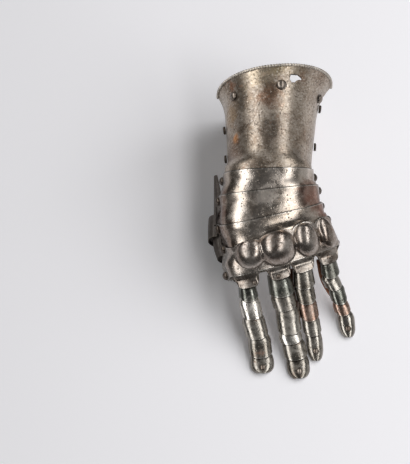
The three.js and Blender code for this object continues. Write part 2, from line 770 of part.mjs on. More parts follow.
function pivotRivets() {
  for (const [name, pivot] of Object.entries(pivots)) {
    const frame = frameOf(pivot);
    const wide = pivot.half + gap;
    for (const [label, side] of [['thumb', -1], ['little', 1]]) {
      const centre = frame.origin.clone().addScaledVector(frame.across, side * wide);
      const normal = frame.across.clone().multiplyScalar(side);
      dome(`${name}_rivet_${label}_side`, centre, normal, 4.1, 3.8);
    }
  }
}

function nearest(rows, x, y, top) {
  let best = null;
  for (let i = 1; i + 1 < rows.length; i += 1) {
    for (let j = 1; j + 1 < rows[i].length; j += 1) {
      for (const [di, dj] of [[0, 0], [0.5, 0], [0, 0.5], [0.5, 0.5]]) {
        const a = rows[i][j].clone().lerp(rows[i + 1][j], di);
        const b = rows[i][j + 1].clone().lerp(rows[i + 1][j + 1], di);
        const point = a.lerp(b, dj);
        if ((point.z > 60) !== top) continue;
        const d = Math.hypot(point.x - x, point.y - y);
        if (!best || d < best.d) best = { d, point, normal: gridNormal(rows, i, j) };
      }
    }
  }
  return best;
}

const cuffRivets = [
  { name: 'cuff_rivet_top', x: 4.0, y: 130, top: true, radius: 4.8 },
  { name: 'cuff_rivet_thumb_side', x: -45.5, y: 130, top: true, radius: 4.4 },
  { name: 'cuff_rivet_little_side', x: 41, y: 140, top: true, radius: 4.4 },
];

// Rivets that join the two cuff plates along their sides.
const cuffSideRivets = [
  { name: 'cuff_side_rivet_1', y: 131, side: 1 },
  { name: 'cuff_side_rivet_2', y: 89, side: 1 },
  { name: 'cuff_side_rivet_3', y: 114, side: -1 },
  { name: 'cuff_side_rivet_4', y: 80, side: -1 },
];

function sideSpot(y, side) {
  const next = cuffSections.findIndex((section) => section.y > y);
  const a = cuffSections[next - 1];
  const b = cuffSections[next];
  const share = (y - a.y) / (b.y - a.y);
  const section = {};
  for (const key of Object.keys(a)) section[key] = a[key] + (b[key] - a[key]) * share;
  const frame = frameOf(section);
  const steep = (b.half - a.half + side * (b.x - a.x)) / (b.y - a.y);
  const normal = frame.across.clone().multiplyScalar(side);
  const centre = frame.origin.clone()
    .addScaledVector(normal, section.half + gap + 0.4)
    .addScaledVector(frame.up, -4);
  return { centre, normal: normal.add(new THREE.Vector3(0, -steep, 0)).normalize() };
}

function tipRivet(name, path) {
  const finger = fingers[name];
  const last = finger.rows.length - 1;
  const frame = scaleFrame(path[last], path[last + 1]);
  const share = 0.62;
  const sink = under * (1 - share) + 2.0 * share ** 3;
  const centre = path[last].clone().lerp(path[last + 1], share)
    .addScaledVector(frame.up, gap + 0.1 - sink);
  dome(`${name}_tip_rivet`, centre, frame.up, 2.9, 1.8);
}

for (const name of ['index', 'middle', 'ring', 'little']) tipRivet(name, buildFinger(name));
const outerCuff = buildCuff();
for (const rivet of cuffRivets) {
  const spot = nearest(outerCuff, rivet.x, rivet.y, rivet.top);
  const centre = spot.point.clone().addScaledVector(spot.normal, gap + 0.3);
  dome(rivet.name, centre, spot.normal, rivet.radius, 3.0);
}
for (const rivet of cuffSideRivets) {
  const { centre, normal } = sideSpot(rivet.y, rivet.side);
  dome(rivet.name, centre, normal, 3.8, 2.6);
}
buildLames();
buildHand();
buildThumb();
pivotRivets();

// The origin is the middle of the footprint, on the surface that the gauntlet lies on.
const whole = new THREE.Box3().setFromObject(group);
const middle = whole.getCenter(new THREE.Vector3());
for (const mesh of group.children) mesh.geometry.translate(-middle.x, -middle.y, -whole.min.z);

export default group;
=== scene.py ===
import bpy
import json
import math
from mathutils import Matrix, Vector, noise

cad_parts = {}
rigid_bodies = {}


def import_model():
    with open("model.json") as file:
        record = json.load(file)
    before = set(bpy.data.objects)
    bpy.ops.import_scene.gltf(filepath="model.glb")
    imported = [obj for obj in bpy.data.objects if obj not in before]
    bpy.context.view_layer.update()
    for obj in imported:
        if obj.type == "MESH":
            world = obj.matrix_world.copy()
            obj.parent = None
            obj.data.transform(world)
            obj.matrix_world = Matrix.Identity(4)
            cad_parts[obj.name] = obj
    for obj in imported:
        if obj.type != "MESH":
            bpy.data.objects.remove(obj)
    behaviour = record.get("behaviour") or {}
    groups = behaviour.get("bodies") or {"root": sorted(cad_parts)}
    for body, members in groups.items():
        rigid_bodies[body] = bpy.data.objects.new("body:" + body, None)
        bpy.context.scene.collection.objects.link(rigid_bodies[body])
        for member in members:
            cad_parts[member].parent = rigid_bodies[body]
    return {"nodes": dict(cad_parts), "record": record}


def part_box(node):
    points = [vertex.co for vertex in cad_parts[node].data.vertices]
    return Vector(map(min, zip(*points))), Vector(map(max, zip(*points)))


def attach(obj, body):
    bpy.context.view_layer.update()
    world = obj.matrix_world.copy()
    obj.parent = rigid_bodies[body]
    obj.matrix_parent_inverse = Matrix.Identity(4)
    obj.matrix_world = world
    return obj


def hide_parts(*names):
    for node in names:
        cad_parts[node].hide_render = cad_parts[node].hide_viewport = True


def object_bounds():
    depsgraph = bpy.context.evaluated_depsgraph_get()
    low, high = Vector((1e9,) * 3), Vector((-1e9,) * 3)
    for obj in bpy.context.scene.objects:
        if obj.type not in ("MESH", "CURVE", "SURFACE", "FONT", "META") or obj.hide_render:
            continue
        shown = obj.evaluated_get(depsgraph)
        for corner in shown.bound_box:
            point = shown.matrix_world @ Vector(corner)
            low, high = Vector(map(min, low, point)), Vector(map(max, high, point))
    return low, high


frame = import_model()
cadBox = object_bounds()
print("frame loaded")
joints = {j["name"]: j for j in frame["record"]["behaviour"]["joints"]}
deg = math.pi / 180

# sizes are in millimetres, in the plan of the CAD model before it was centred
plate = 1.3
nest = 1.8
lobe = 14
lobeLow = 8
archFull = 2.5
legSteps = 5
handWork = dict(fadeLines=4, fineShare=0.4, fineSize=0.4)
wallEdge = dict(near=0.35, bulge=0.3, farFromRim=9.0)
pivotPlan = {
    "wrist": dict(joint="wrist_hinge", turn=2.5, lean=21, half=45.5, high=47.0),
    "back1": dict(joint="first_back_hinge", turn=7, lean=26, half=50.0, high=43.5),
    "back2": dict(joint="second_back_hinge", turn=14.5, lean=32, half=53.0, high=40.5),
    "knuckle": dict(joint="knuckle_hinge", turn=18, lean=37, half=54.5, high=37.0),
    "root": dict(joint="finger_root_hinge", turn=19, lean=41, half=58.0, high=31.0),
}
wristPlan = Vector((-10.3, 53.4, 50))
shift = Vector(joints["wrist_hinge"]["pos_m"]) * 1000 - wristPlan
for plan in pivotPlan.values():
    plan["at"] = Vector(joints[plan["joint"]]["pos_m"]) * 1000 - shift


def placed(name, data):
    piece = bpy.data.objects.new(name, data)
    bpy.context.scene.collection.objects.link(piece)
    return piece


# the result of the modifiers becomes the piece's own mesh
def madePlain(piece):
    graph = bpy.context.evaluated_depsgraph_get()
    made = bpy.data.meshes.new_from_object(piece.evaluated_get(graph))
    piece.modifiers.clear()
    piece.data = made
    return made


def axesOf(plan):
    turn, lean = plan["turn"] * deg, plan["lean"] * deg
    across = Vector((math.cos(turn), math.sin(turn), 0))
    ahead = Vector((math.sin(turn), -math.cos(turn), 0))
    up = Vector((0, 0, math.cos(lean))) + ahead * math.sin(lean)
    front = Vector((0, 0, -math.sin(lean))) + ahead * math.cos(lean)
    return across, up, front


def power(value, p):
    return math.copysign(abs(value) ** p, value) if value else 0.0


def smooth(value, low, high):
    share = min(max((value - low) / (high - low), 0), 1)
    return share * share * (3 - 2 * share)


# side and height of points round the arch from the left lobe to the right one
def archSpots(half, high, low, columns, full, top=lobe):
    legs = [-low + (top + low) * k / legSteps for k in range(legSteps)]
    spots = [(-half, r) for r in legs]
    for k in range(columns + 1):
        angle = math.pi * k / columns
        side = -half * power(math.cos(angle), 2 / full)
        spots.append((side, top + (high - top) * power(max(math.sin(angle), 0), 2 / full)))
    return spots + [(half, r) for r in reversed(legs)]


def onPivot(plan, side, r, ahead):
    across, up, front = axesOf(plan)
    drop = lobe - math.sqrt(max(lobe ** 2 - ahead ** 2, 0))
    rise = math.sqrt(r ** 2 - ahead ** 2) if r >= lobe else r - drop
    return plan["at"] + across * side + up * rise + front * ahead


def pivotRow(plan, smaller, low, ahead, columns):
    spots = archSpots(plan["half"] - smaller, plan["high"] - smaller, low, columns, archFull)
    return [onPivot(plan, s, r, ahead) for s, r in spots]


def gridNormal(rows, i, j):
    along = rows[min(i + 1, len(rows) - 1)][j] - rows[max(i - 1, 0)][j]
    wide = rows[i][min(j + 1, len(rows[i]) - 1)] - rows[i][max(j - 1, 0)]
    return along.cross(wide).normalized()


# more rows between the given ones, on smooth curves through them
def splined(rows, steps, hold=()):
    mids = [0.0]
    for a, b in zip(rows, rows[1:]):
        mids.append(mids[-1] + sum((q - p).length for p, q in zip(a, b)) / len(a) + 1e-6)
    last = len(rows) - 1

    def slope(i, j):
        if i in hold or i in (0, last):
            k = min(i, last - 1)
            return (rows[k + 1][j] - rows[k][j]) / (mids[k + 1] - mids[k])
        before = (rows[i][j] - rows[i - 1][j]) / (mids[i] - mids[i - 1])
        after = (rows[i + 1][j] - rows[i][j]) / (mids[i + 1] - mids[i])
        w = (mids[i] - mids[i - 1]) / (mids[i + 1] - mids[i - 1])
        return before * (1 - w) + after * w

    out = []
    for i in range(last):
        span = mids[i + 1] - mids[i]
        for k in range(steps):
            t = k / steps
            a, b = 2 * t ** 3 - 3 * t ** 2 + 1, t ** 3 - 2 * t ** 2 + t
            c, d = -2 * t ** 3 + 3 * t ** 2, t ** 3 - t ** 2
            out.append([rows[i][j] * a + slope(i, j) * (span * b) + rows[i + 1][j] * c
                        + slope(i + 1, j) * (span * d) for j in range(len(rows[i]))])
    return out + [[p.copy() for p in rows[-1]]]


# small hollows of hand work, which fade towards the edges
def beaten(rows, amount, size, seed):
    count, wide, lines = len(rows), len(rows[0]), handWork["fadeLines"]
    out = []
    for i in range(count):
        fade = min(i, count - 1 - i, lines) / lines
        row = []
        for j in range(wide):
            p = rows[i][j]
            n = noise.noise(p / size + Vector((seed, 0, seed)))
            fine = noise.noise(p / (size * handWork["fineSize"]) + Vector((0, seed, seed)))
            n += handWork["fineShare"] * fine
            fadeAcross = min(j, wide - 1 - j, lines) / lines
            row.append(p + gridNormal(rows, i, j) * (amount * n * fade * fadeAcross))
        out.append(row)
    return out


# an extra line of points close to each edge keeps the edge crisp
def supported(rows, near):
    def between(a, b):
        reach = (b - a).length
        return a.lerp(b, min(near / reach, 0.5)) if reach > 1e-6 else a.copy()
    rows = [rows[0], [between(p, q) for p, q in zip(rows[0], rows[1])], *rows[1:-1],
            [between(p, q) for p, q in zip(rows[-1], rows[-2])], rows[-1]]
    return [[r[0], between(r[0], r[1]), *r[1:-1], between(r[-1], r[-2]), r[-1]] for r in rows]


# a closed wall from a grid of points on its outside, with rounded edges
def wall(name, rows, thick, near=wallEdge["near"]):
    rows = supported(rows, near)
    count, wide = len(rows), len(rows[0])
    normals = [[gridNormal(rows, i, j) for j in range(wide)] for i in range(count)]
    points = [rows[i][j] for i in range(count) for j in range(wide)]
    points += [rows[i][j] - normals[i][j] * thick for i in range(count) for j in range(wide)]
    inner = count * wide
    ring = [(0, j) for j in range(wide)] + [(i, wide - 1) for i in range(1, count)]
    ring += [(count - 1, j) for j in range(wide - 2, -1, -1)] + [(i, 0) for i in range(count - 2, 0, -1)]
    for i, j in ring:
        inward = rows[min(max(i, 1), count - 2)][min(max(j, 1), wide - 2)] - rows[i][j]
        inward -= normals[i][j] * inward.dot(normals[i][j])
        away = inward.normalized() * (-wallEdge["bulge"] * thick) if inward.length > 1e-6 else Vector()
        points.append(rows[i][j] - normals[i][j] * (thick / 2) + away)
    faces = []
    for i in range(count - 1):
        for j in range(wide - 1):
            a, b = i * wide + j, i * wide + j + 1
            c, d = b + wide, a + wide
            faces.append((a, d, c, b))
            faces.append((inner + a, inner + b, inner + c, inner + d))
    middle = 2 * inner
    for k, (i, j) in enumerate(ring):
        ni, nj = ring[(k + 1) % len(ring)]
        a, b = i * wide + j, ni * wide + nj
        m, n = middle + k, middle + (k + 1) % len(ring)
        faces.append((a, b, n, m))
        faces.append((m, n, inner + b, inner + a))
    mesh = bpy.data.meshes.new(name)
    mesh.from_pydata([(p + shift) / 1000 for p in points], [], faces)
    mesh.validate()
    mesh.polygons.foreach_set("use_smooth", [True] * len(mesh.polygons))
    along = [0.0]
    for a, b in zip(rows, rows[1:]):
        along.append(along[-1] + sum((q - p).length for p, q in zip(a, b)) / wide)
    sides = []
    for row in rows:
        run = [0.0]
        for a, b in zip(row, row[1:]):
            run.append(run[-1] + (b - a).length)
        sides.append(run)
    rim, flat = [], []
    for i in range(count):
        for j in range(wide):
            s = sides[i]
            rim.append(min(along[i], along[-1] - along[i], s[j], s[-1] - s[j]))
            flat.append((s[j] - s[-1] / 2, along[i]))
    rim, flat = rim + [wallEdge["farFromRim"]] * inner, flat * 2
    for i, j in ring:
        rim.append(0.0)
        flat.append(flat[i * wide + j])
    mesh.attributes.new("rim", "FLOAT", "POINT").data.foreach_set("value", rim)
    layer = mesh.uv_layers.new(name="UVMap")
    for loop in mesh.loops:
        u, v = flat[loop.vertex_index]
        layer.data[loop.index].uv = (u / 1000, v / 1000)
    return placed(name, mesh)


def finishPiece(piece, body, node, material):
    if piece.data.materials:
        piece.data.materials[0] = material
    else:
        piece.data.materials.append(material)
    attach(piece, body)
    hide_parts(node)
    return piece


class Graph:
    def __init__(self, name):
        self.material = bpy.data.materials.new(name)
        self.material.use_nodes = True
        self.tree = self.material.node_tree
        self.shader = self.tree.nodes["Principled BSDF"]

    def add(self, kind, inputs=None, **settings):
        node = self.tree.nodes.new("ShaderNode" + kind)
        for key, value in settings.items():
            setattr(node, key, value)
        for key, value in (inputs or {}).items():
            self.set(node.inputs[key], value)
        return node

    def set(self, socket, value):
        if isinstance(value, bpy.types.NodeSocket):
            self.tree.links.new(value, socket)
        else:
            socket.default_value = value

    def math(self, operation, a, b=0.0, c=0.0, clamp=False):
        node = self.add("Math", {0: a, 1: b, 2: c}, operation=operation, use_clamp=clamp)
        return node.outputs[0]

    def range(self, value, low, high, to0=0.0, to1=1.0):
        inputs = {"Value": value, "From Min": low, "From Max": high, "To Min": to0, "To Max": to1}
        return self.add("MapRange", inputs, interpolation_type="SMOOTHSTEP").outputs["Result"]

    def noise(self, where, scale, detail=4.0, rough=0.55, **extra):
        inputs = {"Vector": where, "Scale": scale, "Detail": detail, "Roughness": rough, **extra}
        return self.add("TexNoise", inputs).outputs["Fac"]

    def mix(self, share, a, b):
        node = self.add("Mix", {"Factor": share}, data_type="RGBA")
        self.set(node.inputs[6], a)
        self.set(node.inputs[7], b)
        return node.outputs[2]


def rgba(colour):
    return (*colour, 1.0)


steelNoise = dict(broad=26.0, patch=75.0, fine=420.0, rust=48.0, pitArea=55.0)  # cells a metre


def steelMaterial(name, look):
    g = Graph(name)
    where = g.add("TexCoord").outputs["Object"]
    start = g.add("VectorMath", {0: where, 1: (look["seed"],) * 3}, operation="ADD").outputs[0]
    broad = g.noise(start, steelNoise["broad"], 6.0, 0.62)
    patch = g.noise(start, steelNoise["patch"], 8.0, 0.68, Distortion=0.4)
    fine = g.noise(start, steelNoise["fine"], 5.0, 0.7)
    colour = g.mix(g.range(broad, 0.36, 0.64), rgba(look["base"]), rgba(look["second"]))
    mottle = g.math("MULTIPLY", g.range(patch, 0.46, 0.62), look["mottle"])
    colour = g.mix(mottle, colour, rgba(look["mottled"]))
    rustNoise = g.noise(start, steelNoise["rust"], 9.0, 0.72)
    rustWhere = g.math("ADD", rustNoise, g.math("MULTIPLY", broad, 0.25))
    low = 0.86 - 0.34 * look["rust"]
    rust = g.range(rustWhere, low, low + 0.1)
    colour = g.mix(g.math("MULTIPLY", rust, 0.85), colour, rgba(look["rusty"]))
    for spot in look.get("spots", []):
        away = g.add("VectorMath", {0: where, 1: spot["at"]}, operation="DISTANCE").outputs["Value"]
        waves = g.math("MULTIPLY", g.math("SUBTRACT", patch, 0.5), spot["size"] * 1.6)
        wavy = g.math("ADD", away, waves)
        mask = g.range(wavy, spot["size"], spot["size"] * 0.35)
        colour = g.mix(g.math("MULTIPLY", mask, spot["share"]), colour, rgba(spot["colour"]))
    cells = g.add("TexVoronoi", {"Vector": start, "Scale": look["pitScale"]}, feature="F1")
    dots = g.range(cells.outputs["Distance"], 0.30, 0.16)
    pitLow = 0.62 - 0.3 * look["pits"]
    pitArea = g.range(g.noise(start, steelNoise["pitArea"], 3.0), pitLow, pitLow + 0.1)
    picked = g.range(cells.outputs["Color"], 0.40, 0.46)
    pits = g.math("MULTIPLY", g.math("MULTIPLY", dots, pitArea), picked)
    colour = g.mix(g.math("MULTIPLY", pits, 0.8), colour, rgba(look["pitAndShadeColour"]))
    grain = g.noise(start, look["grainScale"], 3.0, 0.75)
    dark = g.math("MULTIPLY", g.range(grain, 0.52, 0.68), look["grain"])
    colour = g.mix(dark, colour, rgba(look["pitAndShadeColour"]))
    pale = g.math("MULTIPLY", g.range(grain, 0.46, 0.33), look["grain"] * 0.7)
    colour = g.mix(pale, colour, rgba(look["bright"]))
    # painted shade round the foot of each rivet head, and in the notches of the roped rims
    notchAndRivetFootShade = g.add("Attribute", attribute_name="notchAndRivetFootShade").outputs["Fac"]
    colour = g.mix(g.math("MULTIPLY", notchAndRivetFootShade, 0.9), colour, rgba(look["pitAndShadeColour"]))
    rim = g.add("Attribute", attribute_name="rim").outputs["Fac"]
    ragged = g.math("ADD", rim, g.math("MULTIPLY", g.math("SUBTRACT", fine, 0.5), 1.2))
    edge = g.range(ragged, look["edgeWide"], look["edgeWide"] * 0.3)
    colour = g.mix(g.math("MULTIPLY", edge, look["edge"]), colour, rgba(look["bright"]))
    # painted shade: a dark line along each edge, for the shadow in the gap where one plate laps over the next
    lip = g.math("MULTIPLY", g.range(rim, look["edgeShadeWide"], look["edgeShadeWide"] * 0.4), look["lip"])
    colour = g.mix(lip, colour, rgba(look["pitAndShadeColour"]))
    g.set(g.shader.inputs["Base Color"], colour)
    g.shader.inputs["Metallic"].default_value = look["metal"]
    rough = g.range(patch, 0.3, 0.7, look["rough"] - 0.08, look["rough"] + 0.1)
    rough = g.math("ADD", rough, g.math("MULTIPLY", rust, 0.22))
    rough = g.math("ADD", rough, g.math("MULTIPLY", pits, 0.2))
    rough = g.math("ADD", rough, g.math("MULTIPLY", dark, 0.25))
    g.set(g.shader.inputs["Roughness"], rough)
    height = g.math("MULTIPLY", pits, -0.7)
    height = g.math("ADD", height, g.math("MULTIPLY", fine, 0.30))
    height = g.math("ADD", height, g.math("MULTIPLY", patch, 0.9))
    bump = g.add("Bump", {"Strength": look["bump"], "Distance": 0.0006, "Height": height})
    g.set(g.shader.inputs["Normal"], bump.outputs["Normal"])
    return g.material


def leatherMaterial(name, look):
    g = Graph(name)
    where = g.add("TexCoord").outputs["Object"]
    broad = g.noise(where, 60.0, 5.0, 0.6)
    grain = g.add("TexVoronoi", {"Vector": where, "Scale": 900.0}, feature="DISTANCE_TO_EDGE")
    crease = g.range(grain.outputs["Distance"], 0.0, 0.12)
    colour = g.mix(g.range(broad, 0.35, 0.65), rgba(look["base"]), rgba(look["second"]))
    colour = g.mix(g.math("MULTIPLY", g.math("SUBTRACT", 1.0, crease), 0.5), colour, rgba(look["dark"]))
    rim = g.add("Attribute", attribute_name="rim").outputs["Fac"]
    colour = g.mix(g.math("MULTIPLY", g.range(rim, 1.2, 0.2), 0.5), colour, rgba(look["edge"]))
    g.set(g.shader.inputs["Base Color"], colour)
    g.set(g.shader.inputs["Roughness"], g.range(broad, 0.3, 0.7, 0.5, 0.75))
    height = g.math("ADD", g.math("MULTIPLY", crease, 0.5), g.math("MULTIPLY", broad, 1.5))
    bump = g.add("Bump", {"Strength": 0.5, "Distance": 0.0005, "Height": height})
    g.set(g.shader.inputs["Normal"], bump.outputs["Normal"])
    return g.material


# a coloured spot centred on a place given by shares of a CAD node's width, length and height, used for stains
# and for patches of painted shade
def stainAndShadeSpot(node, shares, size, colour, share):
    low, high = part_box(node)
    spot = tuple(a + (b - a) * part for a, b, part in zip(low, high, shares))
    return dict(at=spot, size=size, colour=colour, share=share)


# pitAndShadeColour is the colour of pits and dark grain, and of the painted shade at edges, in rim notches
# and round rivet feet
cuffLook = dict(
    seed=0.0, base=(0.39, 0.325, 0.26), second=(0.22, 0.165, 0.12), mottled=(0.46, 0.40, 0.34),
    mottle=0.55, rusty=(0.25, 0.115, 0.06), rust=0.42, pitAndShadeColour=(0.05, 0.038, 0.03), pits=0.5,
    pitScale=420.0, grain=0.75, grainScale=520.0, bright=(0.74, 0.69, 0.62), edge=0.7,
    edgeWide=1.1, lip=0.6, edgeShadeWide=0.3, metal=0.9, rough=0.31, bump=0.6,
    spots=[
        stainAndShadeSpot("cuff_outer", (0.32, 0.88, 0.97), 0.028, (0.58, 0.48, 0.35), 0.6),
        stainAndShadeSpot("cuff_outer", (0.66, 0.93, 1.0), 0.022, (0.55, 0.45, 0.33), 0.55),
        stainAndShadeSpot("cuff_outer", (0.45, 0.66, 0.88), 0.019, (0.23, 0.125, 0.075), 0.7),
        stainAndShadeSpot("cuff_outer", (0.78, 0.82, 0.9), 0.014, (0.27, 0.14, 0.085), 0.75),
        stainAndShadeSpot("cuff_outer", (0.50, 0.90, 0.98), 0.013, (0.20, 0.155, 0.085), 0.8),
        stainAndShadeSpot("cuff_outer", (0.10, 0.62, 0.5), 0.019, (0.30, 0.20, 0.105), 0.75),
        stainAndShadeSpot("cuff_outer", (0.12, 0.28, 0.45), 0.023, (0.17, 0.10, 0.06), 0.75),
        stainAndShadeSpot("cuff_outer", (0.48, 0.35, 0.82), 0.024, (0.17, 0.135, 0.11), 0.5),
        stainAndShadeSpot("cuff_outer", (0.15, 0.40, 0.58), 0.0075, (0.62, 0.27, 0.09), 0.9),
    ])
innerLook = dict(cuffLook, base=(0.25, 0.21, 0.17), second=(0.16, 0.12, 0.09), rust=0.7,
                 spots=[], seed=4.0)
lameLook = dict(
    seed=1.0, base=(0.50, 0.445, 0.395), second=(0.36, 0.30, 0.245), mottled=(0.55, 0.50, 0.45),
    mottle=0.3, rusty=(0.26, 0.13, 0.07), rust=0.25, pitAndShadeColour=(0.07, 0.055, 0.04), pits=0.65,
    pitScale=330.0, grain=0.2, grainScale=420.0, bright=(0.88, 0.85, 0.80), edge=0.6,
    edgeWide=1.7, lip=0.9, edgeShadeWide=1.1, metal=0.95, rough=0.22, bump=0.2,
    spots=[
        stainAndShadeSpot("wrist_lame_2", (0.86, 0.62, 0.80), 0.017, (0.24, 0.13, 0.10), 0.7),
        stainAndShadeSpot("metacarpal_lame", (0.84, 0.72, 0.80), 0.019, (0.24, 0.12, 0.09), 0.7),
        # painted shade: dark patches on the left and right flanks of each lame
        stainAndShadeSpot("wrist_lame_1", (0.0, 0.45, 0.3), 0.032, (0.13, 0.085, 0.06), 0.85),
        stainAndShadeSpot("wrist_lame_2", (0.0, 0.45, 0.3), 0.033, (0.13, 0.075, 0.055), 0.85),
        stainAndShadeSpot("metacarpal_lame", (0.0, 0.4, 0.3), 0.036, (0.13, 0.075, 0.055), 0.85),
        stainAndShadeSpot("wrist_lame_1", (1.0, 0.5, 0.3), 0.030, (0.16, 0.115, 0.09), 0.8),
        stainAndShadeSpot("wrist_lame_2", (1.0, 0.5, 0.3), 0.030, (0.15, 0.09, 0.07), 0.8),
        stainAndShadeSpot("metacarpal_lame", (1.0, 0.7, 0.3), 0.032, (0.15, 0.075, 0.055), 0.8),
    ])
knuckleLook = dict(
    lameLook, seed=2.0, base=(0.35, 0.31, 0.275), second=(0.20, 0.15, 0.12), mottled=(0.46, 0.42, 0.385),
    rusty=(0.25, 0.115, 0.075), rust=0.42, edgeWide=1.2, edgeShadeWide=0.6, grain=0.4, rough=0.24,
    spots=[
        stainAndShadeSpot("knuckle_plate", (0.48, 0.66, 1.0), 0.008, (0.28, 0.14, 0.09), 0.6),
        stainAndShadeSpot("knuckle_plate", (0.74, 0.84, 0.92), 0.009, (0.27, 0.14, 0.09), 0.6),
        stainAndShadeSpot("knuckle_plate", (0.92, 0.94, 0.72), 0.009, (0.25, 0.12, 0.08), 0.65),
    ])
scaleLook = dict(
    lameLook, seed=3.0, base=(0.34, 0.315, 0.28), second=(0.17, 0.15, 0.125), mottled=(0.43, 0.40, 0.36),
    mottle=0.5, rusty=(0.20, 0.10, 0.065), rust=0.35, bright=(0.78, 0.75, 0.70), edge=0.55,
    edgeWide=0.8, edgeShadeWide=0.25, grain=0.3, rough=0.25, spots=[])
darkScaleLook = dict(scaleLook, seed=7.0, base=(0.16, 0.165, 0.145), second=(0.08, 0.08, 0.068),
                     mottled=(0.26, 0.25, 0.22))
# painted highlight: two finger scales are coloured pale for the bright reflection they show
highlightScaleLook = dict(scaleLook, seed=8.0, base=(0.66, 0.63, 0.58), second=(0.46, 0.42, 0.37),
                       mottled=(0.66, 0.62, 0.57))
redScaleLook = dict(scaleLook, seed=9.0, base=(0.30, 0.20, 0.155), second=(0.17, 0.10, 0.075),
                    mottled=(0.40, 0.32, 0.27), rust=0.5)
scaleFinish = {
    "index_scale_1": "darkScale", "index_scale_2": "highlightScale", "middle_scale_1": "darkScale",
    "middle_scale_4": "highlightScale", "ring_scale_3": "redScale", "little_scale_1": "darkScale",
    "little_scale_3": "darkScale", "little_scale_4": "redScale",
}
# painted shade: the thumb lies in the shade under the hand, so its steel is coloured near black
thumbShadeLook = dict(
    scaleLook, seed=6.0, base=(0.075, 0.062, 0.055), second=(0.045, 0.036, 0.03),
    mottled=(0.09, 0.078, 0.07), bright=(0.2, 0.18, 0.16), edge=0.3, rough=0.5, metal=0.5)
rootLook = dict(scaleLook, seed=11.0, base=(0.30, 0.26, 0.225), second=(0.17, 0.13, 0.105), edge=0.3,
                edgeWide=0.6)
rivetLook = dict(
    lameLook, seed=5.0, base=(0.27, 0.23, 0.195), second=(0.16, 0.125, 0.10), rust=0.3,
    spots=[], edge=0.0, lip=0.0, rough=0.34)
# painted shade: the rivets on the sides of the plates are coloured dark for the shade on those sides
pivotRivetShadeLook = dict(rivetLook, base=(0.13, 0.105, 0.09), second=(0.07, 0.055, 0.045),
                      mottled=(0.2, 0.17, 0.15), bright=(0.5, 0.45, 0.4))
sideRivetShadeLook = dict(rivetLook, base=(0.09, 0.075, 0.065), second=(0.05, 0.04, 0.035),
                     mottled=(0.12, 0.1, 0.09), bright=(0.3, 0.26, 0.22))
leatherLook = dict(base=(0.34, 0.125, 0.055), second=(0.19, 0.075, 0.04), dark=(0.05, 0.022, 0.016),
                   edge=(0.52, 0.24, 0.14))

looks = {
    "cuff": steelMaterial("tarnished_cuff_steel", cuffLook),
    "inner": steelMaterial("inner_cuff_steel", innerLook),
    "lame": steelMaterial("worn_lame_steel", lameLook),
    "knuckle": steelMaterial("reddish_knuckle_steel", knuckleLook),
    "scale": steelMaterial("dark_scale_steel", scaleLook),
    "darkScale": steelMaterial("greenish_dark_scale_steel", darkScaleLook),
    "highlightScale": steelMaterial("scale_steel_painted_highlight", highlightScaleLook),
    "redScale": steelMaterial("reddish_scale_steel", redScaleLook),
    "pivotRivet": steelMaterial("pivot_rivet_steel_painted_shade", pivotRivetShadeLook),
    "sideRivet": steelMaterial("blackened_rivet_steel", sideRivetShadeLook),
    "root": steelMaterial("finger_root_steel", rootLook),
    "thumb": steelMaterial("thumb_steel_painted_shade", thumbShadeLook),
    "rivet": steelMaterial("rubbed_rivet_steel", rivetLook),
    "leather": leatherMaterial("aged_leather", leatherLook),
}
print("materials made")


cuffPlan = [  # y, z, turn, lean, x, half width, height, depth
    (74, 51, 3, 14, -8.6, 42.6, 44.8, 33.0),
    (90, 52, 3.5, 9, -8.0, 43.6, 45.0, 36.0),
    (108, 53, 4, 6, -7.2, 45.0, 45.6, 39.5),
    (124, 54, 4.5, 5, -6.8, 46.4, 46.6, 43.0),
    (136, 55, 5, 4.5, -5.8, 48.2, 48.4, 47.0),
    (144, 55.5, 5.5, 4, -5.2, 50.8, 51.0, 50.4),
    (150, 56, 6, 4, -4.0, 54.8, 53.8, 52.7),
    (154, 56, 6, 4, -3.2, 58.0, 56.4, 55.02),
]
fineColumns = 72  # round each arch
cuffValues = dict(full=2.15, low=12, rimLow=4, rimAt=154, lowGrows=0.45, lobe=1, overWrist=(-9, -2, 4.5),
                  rowsBetween=5, beaten=0.35, beatenSize=22, seed=3.0)
innerValues = dict(gap=0.77, full=2.4, rimFull=2.05, rimFrom=140, flare=2.4, rowsUsed=(7, 5, 4, 3, 2, 0),
                   end=(63, 50), endHalf=42.2, endDeep=31.5, rowsBetween=4, columns=48, beadBelow=45)


def cuffRow(plan, columns):
    y, z, turn, lean, x, half, high, deep = plan
    across, up, front = axesOf(dict(turn=turn, lean=lean))
    v = cuffValues
    low = min(v["low"], v["rimLow"] + (v["rimAt"] - y) * v["lowGrows"])
    spots = archSpots(half, high, low, columns, v["full"], v["lobe"])
    return [Vector((x, y, z)) + across * s + up * r for s, r in spots]


def cuffRows():
    rows = [cuffRow(plan, fineColumns) for plan in reversed(cuffPlan)]
    for reach in cuffValues["overWrist"]:
        rows.append(pivotRow(pivotPlan["wrist"], nest, 12, reach, fineColumns))
    return rows


def cuffInnerRow(plan, flare):
    y, z, turn, lean, x, half, high, deep = plan
    across, up, front = axesOf(dict(turn=turn, lean=lean))
    half = half - plate - innerValues["gap"] - flare
    foot = Vector((x, y, z))
    full = innerValues["rimFull"] if y > innerValues["rimFrom"] else innerValues["full"]
    columns = innerValues["columns"]
    spots = [(half - 0.9, 9), (half - 0.2, 3)]
    for k in range(columns + 1):
        angle = math.pi * k / columns
        spots.append((half * power(math.cos(angle), 2 / full),
                      -deep * power(max(math.sin(angle), 0), 2 / full)))
    spots += [(-half + 0.2, 3), (-half + 0.9, 9)]
    return [foot + across * s + up * r for s, r in spots]


